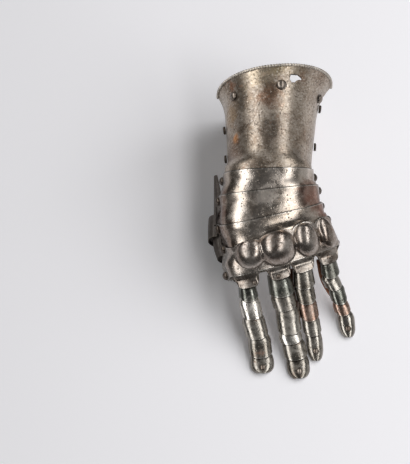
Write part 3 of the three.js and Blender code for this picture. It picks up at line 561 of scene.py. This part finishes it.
# a round bead along a line of points, with slanting notches filed across it
def ropedRim(name, path, values):
    lengths = [0.0]
    for a, b in zip(path, path[1:]):
        lengths.append(lengths[-1] + (b - a).length)
    steps = int(lengths[-1] / values["pitch"] * values["perNotch"])
    sides = values["sides"]
    points, faces, notchShade, k = [], [], [], 0
    back = Vector((0, 1, 0))
    for n in range(steps + 1):
        run = lengths[-1] * n / steps
        while k < len(path) - 2 and lengths[k + 1] < run:
            k += 1
        share = (run - lengths[k]) / max(lengths[k + 1] - lengths[k], 1e-6)
        spot = path[k].lerp(path[k + 1], share)
        ahead = (path[min(k + 2, len(path) - 1)] - path[max(k - 1, 0)]).normalized()
        out = back.cross(ahead).normalized() * values["way"]
        centre = spot + out * values["offset"]
        for s in range(sides):
            angle = 2 * math.pi * s / sides
            notch = math.cos(2 * math.pi * run / values["pitch"] + angle * values["twist"])
            cut = max(notch, 0) ** values["shape"]
            # painted shade in each notch, as deep as the notch
            notchShade.append(cut)
            radius = values["radius"] * (1 - values["depth"] * cut)
            points.append(centre + out * (radius * math.cos(angle)) + back * (radius * math.sin(angle)))
    for n in range(steps):
        for s in range(sides):
            a, b = n * sides + s, n * sides + (s + 1) % sides
            faces.append((a, b, b + sides, a + sides))
    faces.append(tuple(range(sides - 1, -1, -1)))
    faces.append(tuple(steps * sides + s for s in range(sides)))
    mesh = bpy.data.meshes.new(name)
    mesh.from_pydata([(p + shift) / 1000 for p in points], [], faces)
    mesh.polygons.foreach_set("use_smooth", [True] * len(mesh.polygons))
    mesh.attributes.new("rim", "FLOAT", "POINT").data.foreach_set("value", [values["fromEdge"]] * len(points))
    mesh.attributes.new("notchAndRivetFootShade", "FLOAT", "POINT").data.foreach_set("value", notchShade)
    return placed(name, mesh)


holeValues = dict(
    outline=[(12.0, 143.5), (11.4, 139.5), (13.4, 136.8), (16.2, 137.6), (18.8, 140.0),
             (22.6, 141.2), (23.6, 143.0), (19.0, 144.8), (15.0, 144.4)],
    steps=5, ragged=0.5, raggedSize=0.9, heights=(0.080, 0.125))
smoothRows = splined(cuffRows(), cuffValues["rowsBetween"])
rows = beaten(smoothRows, cuffValues["beaten"], cuffValues["beatenSize"], cuffValues["seed"])
outer = wall("cuff_outer_shell", rows, plate)
cutter = bpy.data.meshes.new("hole_cutter")
outline, steps = holeValues["outline"], holeValues["steps"]
dense = []
for (ax, ay), (bx, by) in zip(outline, outline[1:] + outline[:1]):
    for k in range(steps):
        p = Vector((ax + (bx - ax) * k / steps, ay + (by - ay) * k / steps, 0))
        q = p * holeValues["raggedSize"]
        astray = Vector((noise.noise(q), noise.noise(q + Vector((9, 9, 9))), 0))
        dense.append(p + astray * holeValues["ragged"])
count = len(dense)
ends = [(p + shift) / 1000 + Vector((0, 0, z)) for z in holeValues["heights"] for p in dense]
sides = [(k, (k + 1) % count, count + (k + 1) % count, count + k) for k in range(count)]
caps = [tuple(range(count - 1, -1, -1)), tuple(range(count, 2 * count))]
cutter.from_pydata(ends, [], caps + sides)
cutterPiece = placed("hole_cutter", cutter)
cut = outer.modifiers.new("hole", "BOOLEAN")
cut.object, cut.operation, cut.solver = cutterPiece, "DIFFERENCE", "EXACT"
madePlain(outer)
bpy.data.objects.remove(cutterPiece)
finishPiece(outer, "cuff", "cuff_outer", looks["cuff"])

rimValues = dict(radius=1.7, offset=0.2, pitch=2.9, perNotch=8, sides=14, twist=1.0, depth=0.6, way=1,
                 shape=1.5, fromEdge=0.6)
innerRimValues = dict(rimValues, radius=1.9, offset=0.7)
rope = ropedRim("cuff_outer_rim", splined(cuffRows(), 1)[0], rimValues)
rope.data.materials.append(looks["cuff"])
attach(rope, "cuff")

innerPlans = []
for k in innerValues["rowsUsed"]:
    before, this = cuffPlan[max(k - 1, 0)], cuffPlan[k]
    steep = (this[5] - before[5]) / (this[0] - before[0] + 0.001)  # how fast the cuff widens
    innerPlans.append((this, innerValues["flare"] * steep))
first = cuffPlan[0]
innerPlans.append(((*innerValues["end"], *first[2:5], innerValues["endHalf"], first[6],
                    innerValues["endDeep"]), 0))
innerRows = [cuffInnerRow(plan, flare) for plan, flare in innerPlans]
inner = wall("cuff_inner_shell", splined(innerRows, innerValues["rowsBetween"]), plate)
finishPiece(inner, "cuff", "cuff_inner", looks["inner"])
lowest = [p for p in innerRows[0] if p.z < innerValues["beadBelow"]]
innerRope = ropedRim("cuff_inner_rim", lowest, innerRimValues)
innerRope.data.materials.append(looks["inner"])
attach(innerRope, "cuff")
print("cuff made")


lameValues = dict(wall=1.1, beaten=0.15, beatenSize=16, rowsBetween=5, behind=(-5, 0, 5),
                  ahead=(-7, -1, 4.5), metacarpalAhead=(-9, -3, 4.5))


def lameRows(behind, ahead, reaches):
    back, front = pivotPlan[behind], pivotPlan[ahead]
    rows = [pivotRow(back, 0, lobeLow, reach, fineColumns) for reach in lameValues["behind"]]
    return rows + [pivotRow(front, nest, lobeLow, reach, fineColumns) for reach in reaches]


for node, body, rows in (
    ("wrist_lame_1", "first_wrist_lame", lameRows("wrist", "back1", lameValues["ahead"])),
    ("wrist_lame_2", "second_wrist_lame", lameRows("back1", "back2", lameValues["ahead"])),
    ("metacarpal_lame", "metacarpal", lameRows("back2", "knuckle", lameValues["metacarpalAhead"])),
):
    smoothed, seed = splined(rows, lameValues["rowsBetween"]), len(node) * 1.7
    shaped = beaten(smoothed, lameValues["beaten"], lameValues["beatenSize"], seed)
    piece = wall(node + "_plate", shaped, lameValues["wall"])
    finishPiece(piece, body, node, looks["lame"])


bossPlan = [  # across, half width, length, height, scallop, along
    (-34.0, 15.4, 15.2, 10.0, 4.2, 0.42),
    (-7.0, 19.2, 18.6, 14.0, 6.8, 0.50),
    (22.6, 13.2, 17.2, 11.0, 6.8, 0.51),
    (43.6, 9.9, 15.8, 7.4, 5.4, 0.51),
]
knuckleValues = dict(
    columns=200, rowsBetween=11, wall=0.85, proud=0.45, foot=0.9, backEdge=-0.5, cornerEdge=-3.5,
    scallopWider=0.8, scallopDeeper=3, backShares=(0, 0.3, 0.6, 1), backReach=4,
    frontSteps=(-12.5, -9.5, -6.5, -3.5, 0), frontReach=5, frontPull=7,
    corner=(1, 0.998, 0.992, 0.983, 0.97, 0.955, 0.935))


def knuckleSpots(half, high):
    corner, columns = knuckleValues["corner"], knuckleValues["columns"]
    shares = [*corner, *(corner[-1] * (1 - 2 * k / columns) for k in range(1, columns))]
    shares += [-share for share in reversed(corner)]
    spots = [(-half, r) for r in (-lobeLow, -lobeLow / 2, 0, 6)]
    for share in shares:
        r = lobe + (high - lobe) * (1 - abs(share) ** archFull) ** (1 / archFull)
        spots.append((-half * share, r))
    return spots + [(half, r) for r in (6, 0, -lobeLow / 2, -lobeLow)]


def knuckleRow(plan, smaller, reach):
    spots = knuckleSpots(plan["half"] - smaller, plan["high"] - smaller)
    return [onPivot(plan, s, r, reach(s, r)) for s, r in spots]


def scallop(x):
    v = knuckleValues
    reach = v["backEdge"] if x > bossPlan[0][0] else v["cornerEdge"]
    for across, half, length, high, cut, along in bossPlan:
        d = (x - across) / (half + v["scallopWider"])
        if abs(d) < 1:
            reach = min(reach, v["backEdge"] - (cut + v["scallopDeeper"]) * math.sqrt(1 - d * d))
    return reach


def rise(r):
    return smooth(r, 4, lobe + 6)


def bossLift(spot, bosses):
    best, lift = 0.0, Vector((0, 0, 0))
    for centre, normal, side, ahead, half, length, high in bosses:
        away = spot - centre
        d2 = (away.dot(side) / half) ** 2 + (away.dot(ahead) / length) ** 2
        level = max(1 - d2, 0) ** 0.5
        if level * high > best:
            best = level * high
            flatter = away.dot(normal) * smooth(level, 0, knuckleValues["foot"])
            lift = normal * (high * level - flatter)
    return lift


base = []
for part in knuckleValues["backShares"]:
    def backEdge(x, r, part=part):
        return scallop(x) * (1 - part) + knuckleValues["backReach"] * part
    base.append(knuckleRow(pivotPlan["knuckle"], 0, backEdge))
for part in knuckleValues["frontSteps"]:
    def frontEdge(x, r, part=part):
        return part + knuckleValues["frontReach"] - knuckleValues["frontPull"] * rise(r)
    base.append(knuckleRow(pivotPlan["root"], 0, frontEdge))
fineBase = splined(base, knuckleValues["rowsBetween"])
columnRuns = []
for j in range(len(fineBase[0])):
    run = [0.0]
    for a, b in zip(fineBase, fineBase[1:]):
        run.append(run[-1] + (b[j] - a[j]).length)
    columnRuns.append([r / run[-1] for r in run])
spots = knuckleSpots(pivotPlan["knuckle"]["half"], pivotPlan["knuckle"]["high"])
bosses = []
for across, half, length, high, cut, along in bossPlan:
    j = min(range(len(spots)), key=lambda k: abs(spots[k][0] - across))
    i = min(range(len(fineBase)), key=lambda k: abs(columnRuns[j][k] - along))
    side = (fineBase[i][j + 4] - fineBase[i][j - 4]).normalized()
    normal = sum((gridNormal(fineBase, i + k, j) for k in (-8, -4, 0, 4, 8)), Vector()).normalized()
    ahead = normal.cross(side).normalized()
    bosses.append((fineBase[i][j], normal, side, ahead, half, length, high))
raised = []
for i, row in enumerate(fineBase):
    line = []
    for j, p in enumerate(row):
        onTop = smooth(spots[j][1], lobe - 4, lobe + 4)  # none on the lobes at the pivots
        line.append(p + gridNormal(fineBase, i, j) * knuckleValues["proud"] + bossLift(p, bosses) * onTop)
    raised.append(line)
piece = wall("knuckle_plate_shell", raised, knuckleValues["wall"])
finishPiece(piece, "knuckles", "knuckle_plate", looks["knuckle"])


fingerPlan = {  # across, start angle, lip shows, settle; length, x, width, tall, slope
    "index": (-43, 54, 0, 2.1, [(21.4, -28.5, 19.4, 10.5, 22), (18.3, -24.5, 21.4, 11.0, 24),
              (20.0, -19.5, 23.2, 11.0, 23), (19.0, -17.0, 23.2, 9.5, 19),
              (14.5, -16.0, 23.6, 8.0, 12)]),
    "middle": (-10, 53, 0, 1.9, [(25.6, 5.0, 25.6, 12.0, 21), (14.1, 8.6, 23.8, 11.5, 24),
               (24.1, 12.0, 24.0, 11.5, 22), (9.5, 15.0, 23.2, 10.5, 20),
               (16.4, 18.5, 23.2, 9.5, 17), (18.0, 21.0, 22.8, 8.0, 11)]),
    "ring": (15, 53, 1, 3.8, [(24.5, 26.4, 22.4, 11.0, 25), (15.0, 29.2, 20.0, 10.5, 27),
             (16.8, 32.4, 19.4, 10.0, 24), (15.0, 34.8, 18.4, 9.0, 20),
             (24.0, 37.4, 16.8, 8.0, 12)]),
    "little": (43, 53, 1, 2.8, [(23.2, 53.8, 18.6, 10.0, 28), (12.5, 59.0, 16.8, 9.5, 31),
               (15.0, 63.2, 16.0, 9.0, 27), (11.4, 67.0, 16.2, 8.5, 22),
               (21.6, 70.4, 16.8, 8.0, 12)]),
}
fingersAcross = [finger[0] for finger in fingerPlan.values()]
rootValues = dict(archHalf=12.5, archLift=1.6, tongueHalf=11, tonguePower=4, edge=1, tongueReach=7.5,
                  gap=(8.5, 13), shares=(0.25, 0.5, 0.75, 1), fall=30, rowsBetween=3)


def rootArch(x):
    lift = 0.0
    for across in fingersAcross:
        d = (x - across) / rootValues["archHalf"]
        if abs(d) < 1:
            lift = max(lift, rootValues["archLift"] * math.sqrt(1 - d * d))
    return lift


def rootEdge(x, r):
    tongue = 0.0
    for across in fingersAcross:
        d = abs(x - across) / rootValues["tongueHalf"]
        tongue = max(tongue, math.sqrt(max(1 - d ** rootValues["tonguePower"], 0)))
    return rootValues["edge"] + rootValues["tongueReach"] * tongue * rise(r)


# 1 midway between two fingers and 0 on a finger
def betweenFingers(x):
    return smooth(min(abs(x - across) for across in fingersAcross), *rootValues["gap"])


root = pivotPlan["root"]
rootRows = [
    knuckleRow(root, nest, lambda x, r: -5 - 4 * rise(r)),
    knuckleRow(root, nest, lambda x, r: 0),
    knuckleRow(root, nest, lambda x, r: 4.5 - 5.5 * rise(r) * betweenFingers(x)),
]
rootSpots = knuckleSpots(root["half"] - nest, root["high"] - nest)
rootAcross = axesOf(root)[0]
rootAhead = Vector((rootAcross.y, -rootAcross.x, 0))
for share in rootValues["shares"]:
    tip = []
    for j, point in enumerate(rootRows[2]):
        x, r = rootSpots[j]
        reach = rootEdge(x, r) * share
        slope = rootValues["fall"] * deg * rise(r) + root["lean"] * deg * (1 - rise(r))
        spot = point + rootAhead * (reach * math.cos(slope))
        spot.z += rootArch(x) * rise(r) * share ** 0.5 - reach * math.sin(slope)
        tip.append(spot)
    rootRows.append(tip)
piece = wall("finger_root_shell", splined(rootRows, rootValues["rowsBetween"], hold=(2,)), plate)
finishPiece(piece, "fingers", "finger_root_lame", looks["root"])
print("lames made")


scaleValues = dict(wall=1.1, under=1.8, lap=4, shoulder=2.6, swept=6.5, columns=26, sidePower=0.82,
                   topPower=0.72, rowsBetween=3, near=0.25, shares=(0.6, 1))
tipValues = dict(shares=(0.42, 0.56, 0.68, 0.78, 0.87, 0.94, 1), roundFrom=0.4, roundOver=0.67, sink=2.0,
                 flat=0.45, curve=0.8)
strapValues = dict(wall=1.5, sideGap=4.9, topGap=4.2, drop=4.1, power=0.85, angles=(40, 78, 118, 158),
                   start=0.1, end=0.4, rowsBetween=4, hidden=(0, -0.9), lips=((5.0, 2.5), (6.3, 1.9)))


def scaleFrame(a, b):
    front = (b - a).normalized()
    across = -front.cross(Vector((0, 0, 1)))
    across = across.normalized() * (-1 if across.x < 0 else 1)
    up = across.cross(front).normalized()
    return front, across, up * (-1 if up.z < 0 else 1)


def scaleRow(centre, axes, half, tall, reach):
    front, across, up = axes
    columns = scaleValues["columns"]
    row = []
    for k in range(columns + 1):
        angle = math.pi * k / columns
        side = -half * power(math.cos(angle), scaleValues["sidePower"])
        lift = tall * (power(max(math.sin(angle), 0), scaleValues["topPower"]) - 1)
        row.append(centre + across * side + up * lift + front * reach(abs(side / half)))
    return row


def fingerPath(finger):
    across, angle, lip, settle, table = finger
    half, high = root["half"] - nest, root["high"] - nest - lobe
    r = lobe + high * (1 - abs(across / half) ** archFull) ** (1 / archFull) - plate - 1.0
    side, up, front = axesOf(root)
    lean = (angle - root["lean"]) * deg
    path = [root["at"] + side * across + up * (r * math.cos(lean)) + front * (r * math.sin(lean))]
    whole = sum(row[0] for row in table)
    for length, x, width, tall, slope in table:
        a = path[-1]
        fall = length * (math.sin(slope * deg) + settle / whole)
        ahead = math.sqrt((length * math.cos(slope * deg)) ** 2 - (x - a.x) ** 2)
        path.append(Vector((x, a.y - ahead, a.z - fall)))
    return path


def mixed(a, b, share):
    return tuple(p + (q - p) * share for p, q in zip(a, b))


def scaleEnds(table, k):
    under = scaleValues["under"]
    front = (table[k][2] / 2, table[k][3], 0.0)
    before = (front[0] + 0.3, front[1]) if k == 0 else (table[k - 1][2] / 2, table[k - 1][3])
    return (before[0] - under, before[1] - under, under), front


def scaleRows(path, table, k, tip):
    under, lap, shoulder, swept = (scaleValues[key] for key in ("under", "lap", "shoulder", "swept"))
    axes = scaleFrame(path[k], path[k + 1])
    back, front = scaleEnds(table, k)
    rows = []

    def place(centre, axes, size, curve):
        spot = centre - axes[2] * size[2]
        rows.append(scaleRow(spot, axes, size[0], size[1], lambda side: -curve * side ** 3))

    if k > 0:
        earlier = scaleFrame(path[k - 1], path[k])
        ends = scaleEnds(table, k - 1)
        half, tall, sink = mixed(*ends, 1 - lap / table[k - 1][0])
        place(path[k] - earlier[0] * lap, earlier, (half - under, tall - under, sink + under), swept)
        place(path[k], earlier, back, swept)
        half, tall, sink = mixed(back, front, shoulder / table[k][0])
        half = front[0] + (back[0] - front[0]) * 0.25
        place(path[k] + axes[0] * shoulder, axes, (half, tall, sink), swept * 0.9)
    else:
        place(path[0], axes, back, 0)
    for share in (tipValues if tip else scaleValues)["shares"]:
        half, tall, sink = mixed(back, front, share)
        if k > 0:
            half = front[0]
        curve = swept if k > 0 else swept * share
        if tip:
            past = max(share - tipValues["roundFrom"], 0) / tipValues["roundOver"]
            rounded = math.sqrt(1 - past ** 2)
            lower = tipValues["sink"] * share ** 3
            half *= rounded
            sink += lower
            tall = (tall - lower) * (tipValues["flat"] + (1 - tipValues["flat"]) * rounded)
            curve = tipValues["curve"]
        place(path[k].lerp(path[k + 1], share), axes, (half, tall, sink), curve)
    return rows


def strapRow(centre, axes, half, tall, bottom, lip):
    front, across, up = axes
    v = strapValues
    inside, deep, drop = half - v["sideGap"], tall - v["topGap"], v["drop"]
    spots = [(-inside - lip[0], bottom + lip[1]),
             (-inside, bottom + lip[1] - 0.3 if lip[0] > 0 else drop + deep * 0.7)]
    for angle in v["angles"]:
        spots.append((-inside * power(math.cos(angle * deg), v["power"]),
                      drop + deep * (1 - power(math.sin(angle * deg), v["power"]))))
    return [centre + across * s - up * low for s, low in spots]


def lipAt(k, last, shows):
    if not shows or k >= last:
        return strapValues["hidden"]
    if k == last - 1:
        return 0, strapValues["lips"][1][1]
    return strapValues["lips"][0 if k == last - 2 else 1]


def strapRows(path, table, shows):
    last = len(table) - 1
    rows = []
    for k in range(last + 1):
        axes = scaleFrame(path[max(k - 1, 0)], path[1 if k == 0 else k + 1])
        row, after = table[max(k - 1, 0)], table[k]
        tall = min(row[3], after[3])
        start = path[0].lerp(path[1], strapValues["start"]) if k == 0 else path[k]
        bottom = max(row[3], after[3]) if k < last else tall
        rows.append(strapRow(start, axes, min(row[2], after[2]) / 2, tall, bottom, lipAt(k, last, shows)))
    low = table[last][3] - 0.8
    rows.append(strapRow(path[last].lerp(path[last + 1], strapValues["end"]),
                         scaleFrame(path[last], path[last + 1]),
                         table[last][2] / 2 - 0.6, low, low, strapValues["hidden"]))
    return rows


for name, finger in fingerPlan.items():
    path, table = fingerPath(finger), finger[4]
    for k in range(len(table)):
        tip = k == len(table) - 1
        node = f"{name}_tip_scale" if tip else f"{name}_scale_{k + 1}"
        hold = () if k == 0 else (1,)  # the crease where a scale leaves the one behind it
        rows = splined(scaleRows(path, table, k, tip), scaleValues["rowsBetween"], hold)
        piece = wall(node + "_plate", rows, scaleValues["wall"], scaleValues["near"])
        finishPiece(piece, "fingers", node, looks[scaleFinish.get(node, "scale")])
    rows = splined(strapRows(path, table, finger[2]), strapValues["rowsBetween"])
    piece = wall(f"{name}_strap_leather", rows, strapValues["wall"])
    finishPiece(piece, "fingers", f"{name}_strap", looks["leather"])
print("fingers made")


thumbHingeAt = (-64.0, 27.5)
thumbPlan = {  # y, x, z, size, tuck under
    "thumb_plate": [(74, 0.8, -4.0, 0.34, 0.2), (60, 2.2, -2.0, 0.60, 0.5),
                    (42, 3.3, -0.8, 0.82, 0.9), (21, 3.6, -0.8, 0.90, 1.0)],
    "thumb_scale_1": [(26, -1.0, 0.6, 1.04, 0.9), (14, -1.6, -0.2, 1.02, 1.0),
                      (2, -1.8, -2.0, 0.96, 1.0)],
    "thumb_scale_2": [(7, 1.8, -4.0, 0.84, 0.9), (-6, 3.4, -5.6, 0.82, 1.0),
                      (-17, 6.4, -7.6, 0.74, 1.0)],
    "thumb_tip_scale": [(-13, 8.8, -10.0, 0.58, 0.9), (-24, 12.4, -12.0, 0.57, 1.0),
                        (-33, 16.4, -14.5, 0.47, 0.9), (-38, 19.9, -18.5, 0.30, 0.6)],
}


thumbValues = dict(wall=1.2, rowsBetween=4, outline=[  # side and height, from the top of the plate down
    (4, -0.6), (0, -1.4), (-3.6, -4.4), (-5.2, -9.5), (-5.0, -15), (-2.6, -20), (2.4, -24.4), (9.0, -26.4)])


def thumbRow(y, x, z, size, tuck):
    row = []
    for k, (side, low) in enumerate(thumbValues["outline"]):
        inwards = tuck if side > 0 and k > 5 else 1
        across = thumbHingeAt[0] + x + side * size * inwards
        row.append(Vector((across, y, thumbHingeAt[1] + z + low * size)))
    return row[::-1]


def turned(rows):
    return [list(row) for row in zip(*rows)]


for node, table in thumbPlan.items():
    rows = [thumbRow(*row) for row in table]
    between = thumbValues["rowsBetween"]
    fine = turned(splined(turned(splined(rows, between)), between))
    piece = wall(node + "_shell", fine, thumbValues["wall"])
    finishPiece(piece, "thumb", node, looks["thumb"])


# foot: how strongly painted shade darkens each of the lowest rings of a head
headValues = dict(sides=28, larger=1.08, foot=(1.0, 1.0, 0.75, 0.25), farFromRim=3.0)
headProfiles = {  # radius and height, as shares
    "dome": [(0.98, 0), (1.0, 0.06), (0.99, 0.16), (0.94, 0.34), (0.86, 0.5), (0.74, 0.66),
             (0.58, 0.8), (0.4, 0.91), (0.2, 0.98)],
    "stub": [(0.98, 0), (1.0, 0.06), (1.0, 0.6), (0.96, 0.75), (0.86, 0.87), (0.6, 0.95), (0.3, 0.99)],
}


# a rivet head of radius 1 and height 1 at the origin, with painted shade round its foot
def unitHead(shape):
    sides, profile = headValues["sides"], headProfiles[shape]
    points, faces, dark = [], [], []
    for k, (r, h) in enumerate(profile):
        for s in range(sides):
            angle = 2 * math.pi * s / sides
            points.append((r * math.cos(angle), r * math.sin(angle), h))
            dark.append(headValues["foot"][k] if k < len(headValues["foot"]) else 0.0)
    points.append((0, 0, 1))
    dark.append(0.0)
    for k in range(len(profile) - 1):
        for s in range(sides):
            a, b = k * sides + s, k * sides + (s + 1) % sides
            faces.append((a, b, b + sides, a + sides))
    top = (len(profile) - 1) * sides
    faces += [(top + s, top + (s + 1) % sides, len(points) - 1) for s in range(sides)]
    faces.append(tuple(range(sides - 1, -1, -1)))
    mesh = bpy.data.meshes.new("unit_" + shape)
    mesh.from_pydata(points, [], faces)
    mesh.attributes.new("notchAndRivetFootShade", "FLOAT", "POINT").data.foreach_set("value", dark)
    return bpy.data.objects.new("unit_" + shape, mesh)


# the nodes that set a head on a plate: one copy on a point, turned and sized, made real, then finished
def rivetTree():
    tree = bpy.data.node_groups.new("rivetHead", "GeometryNodeTree")
    tree.is_modifier = True
    for name, kind in (("Head", "Object"), ("Place", "Vector"), ("Turn", "Vector"), ("Radius", "Float"),
                       ("Height", "Float"), ("Finish", "Material")):
        tree.interface.new_socket(name, in_out="INPUT", socket_type="NodeSocket" + kind)
    tree.interface.new_socket("Geometry", in_out="OUTPUT", socket_type="NodeSocketGeometry")
    given, result = tree.nodes.new("NodeGroupInput"), tree.nodes.new("NodeGroupOutput")
    point, head = tree.nodes.new("GeometryNodePoints"), tree.nodes.new("GeometryNodeObjectInfo")
    turn, size = tree.nodes.new("FunctionNodeEulerToRotation"), tree.nodes.new("ShaderNodeCombineXYZ")
    copies = tree.nodes.new("GeometryNodeInstanceOnPoints")
    real, finish = tree.nodes.new("GeometryNodeRealizeInstances"), tree.nodes.new("GeometryNodeSetMaterial")
    for output, node, name in (
        (given.outputs["Place"], point, "Position"),
        (given.outputs["Head"], head, "Object"),
        (given.outputs["Turn"], turn, "Euler"),
        (given.outputs["Radius"], size, "X"),
        (given.outputs["Radius"], size, "Y"),
        (given.outputs["Height"], size, "Z"),
        (point.outputs[0], copies, "Points"),
        (head.outputs["Geometry"], copies, "Instance"),
        (turn.outputs[0], copies, "Rotation"),
        (size.outputs[0], copies, "Scale"),
        (copies.outputs[0], real, "Geometry"),
        (real.outputs[0], finish, "Geometry"),
        (given.outputs["Finish"], finish, "Material"),
        (finish.outputs[0], result, "Geometry"),
    ):
        tree.links.new(output, node.inputs[name])
    return tree


# where a CAD rivet stands: the middle of its flat base, the way out, its radius and its height
def rivetPlace(mesh):
    groups = {}
    for face in mesh.polygons:
        groups.setdefault(tuple(round(c, 1) for c in face.normal), []).append(face)
    base = max(groups.values(), key=lambda faces: sum(face.area for face in faces))
    outwards = -base[0].normal
    ring = {tuple(round(c, 6) for c in mesh.vertices[k].co) for face in base for k in face.vertices}
    centre = sum((Vector(co) for co in ring), Vector()) / len(ring)
    radius = max((Vector(co) - centre).length for co in ring) * headValues["larger"]
    return centre, outwards, radius, max((v.co - centre).dot(outwards) for v in mesh.vertices)


def rivetHead(name, source, shape, material):
    centre, outwards, radius, height = rivetPlace(source.data)
    side = outwards.orthogonal().normalized()
    turn = Matrix((side, outwards.cross(side), outwards)).transposed().to_euler()
    piece = placed(name, bpy.data.meshes.new(name))
    modifier = piece.modifiers.new("rivetHead", "NODES")
    modifier.node_group = headNodes
    given = dict(Head=unitHeads[shape], Place=tuple(centre), Turn=tuple(turn), Radius=radius,
                 Height=height, Finish=material)
    for socket in headNodes.interface.items_tree:
        if socket.in_out == "INPUT":
            modifier[socket.identifier] = given[socket.name]
    madePlain(piece)
    return piece


hingeValues = dict(weld=0.00001, bevel=0.0002, segments=3)


# the hinge barrel of the thumb, with its edges rounded
def hingeBarrel(name, source):
    piece = placed(name, source.data.copy())
    piece.modifiers.new("weld", "WELD").merge_threshold = hingeValues["weld"]
    bevel = piece.modifiers.new("bevel", "BEVEL")
    bevel.width, bevel.segments, bevel.limit_method = hingeValues["bevel"], hingeValues["segments"], "ANGLE"
    madePlain(piece).materials.clear()
    return piece


unitHeads = {shape: unitHead(shape) for shape in headProfiles}
headNodes = rivetTree()
bodyOf = {n: b for b, ns in frame["record"]["behaviour"]["bodies"].items() for n in ns}
for node, source in frame["nodes"].items():
    if "rivet" not in node and node != "thumb_hinge":
        continue
    finish = "rivet"
    if "side_rivet_" in node:
        finish = "sideRivet"
    elif node.endswith("_side") and not node.startswith("cuff"):
        finish = "pivotRivet"
    elif node == "thumb_hinge":
        finish = "thumb"
    if node == "thumb_hinge":
        piece = hingeBarrel(node + "_head", source)
    else:
        shape = "stub" if "side_rivet_" in node else "dome"
        piece = rivetHead(node + "_head", source, shape, looks[finish])
    made = piece.data
    made.polygons.foreach_set("use_smooth", [True] * len(made.polygons))
    rim = [headValues["farFromRim"]] * len(made.vertices)
    made.attributes.new("rim", "FLOAT", "POINT").data.foreach_set("value", rim)
    finishPiece(piece, bodyOf[node], node, looks[finish])
for head in unitHeads.values():
    bpy.data.objects.remove(head)
print("rivets made")


low, high = cadBox
size = high - low
floorValues = dict(half=6, below=0.0002, colour=(0.93, 0.92, 0.955, 1), glow=0.15, rough=0.9)
half, below = floorValues["half"], -floorValues["below"]
corners = [(-half, -half, below), (half, -half, below), (half, half, below), (-half, half, below)]
floorMesh = bpy.data.meshes.new("floor")
floorMesh.from_pydata(corners, [], [(0, 1, 2, 3)])
floor = placed("floor", floorMesh)
paper = Graph("pale_floor")
paper.set(paper.shader.inputs["Base Color"], floorValues["colour"])
paper.set(paper.shader.inputs["Emission Color"], (1, 1, 1, 1))
paper.set(paper.shader.inputs["Emission Strength"], floorValues["glow"])
paper.set(paper.shader.inputs["Roughness"], floorValues["rough"])
floorMesh.materials.append(paper.material)

lightPlan = dict(
    world=0.06,
    lamps=[  # tilt from overhead, in degrees, towards +X; long side along Y
        dict(name="left", tilt=-37, far=1.6, width=0.62, length=3.0, power=22, lights="steel"),
        dict(name="right", tilt=27, far=1.6, width=0.38, length=3.0, power=16, lights="all"),
        dict(name="side", tilt=72, far=2.2, width=1.4, length=2.5, power=5, lights="all"),
        dict(name="low", tilt=56, far=4.0, width=2.2, length=5.0, power=102, lights="floor"),
    ])
world = bpy.data.worlds.new("studio")
world.use_nodes = True
world.node_tree.nodes["Background"].inputs["Color"].default_value = (1, 1, 1, 1)
world.node_tree.nodes["Background"].inputs["Strength"].default_value = lightPlan["world"]
bpy.context.scene.world = world
middle = Vector((0, 0, size.z * 0.45))
groups = {part: bpy.data.collections.new(part + "_only") for part in ("steel", "floor")}
for piece in bpy.context.scene.objects:
    if piece.type == "MESH":
        groups["floor" if piece == floor else "steel"].objects.link(piece)
for lamp in lightPlan["lamps"]:
    data = bpy.data.lights.new("lamp_" + lamp["name"], "AREA")
    data.shape, data.size, data.size_y = "RECTANGLE", lamp["width"], lamp["length"]
    data.energy = lamp["power"]
    holder = placed("lamp_" + lamp["name"], data)
    tilt = lamp["tilt"] * deg
    holder.location = middle + Vector((math.sin(tilt), 0, math.cos(tilt))) * lamp["far"]
    holder.rotation_euler = (0, tilt, 0)
    if lamp["lights"] in groups:
        holder.light_linking.receiver_collection = groups[lamp["lights"]]

# the aim is in shares of the whole size
cameraValues = dict(lens=310.3, far=4.0, elevation=61, aim=(-0.521, -0.0473, 0.442))
camera = bpy.data.cameras.new("camera")
camera.lens, camera.sensor_width = cameraValues["lens"], 36
camera.clip_end = 20
eye = placed("camera", camera)
bpy.context.scene.camera = eye
aim = Vector([share * side for share, side in zip(cameraValues["aim"], size)])
elevation = cameraValues["elevation"] * deg
back = Vector((0, -math.cos(elevation), math.sin(elevation)))
eye.location = aim + back * cameraValues["far"]
eye.rotation_euler = back.to_track_quat("Z", "Y").to_euler()
bpy.context.scene.view_settings.view_transform = "Standard"

print("stage made")
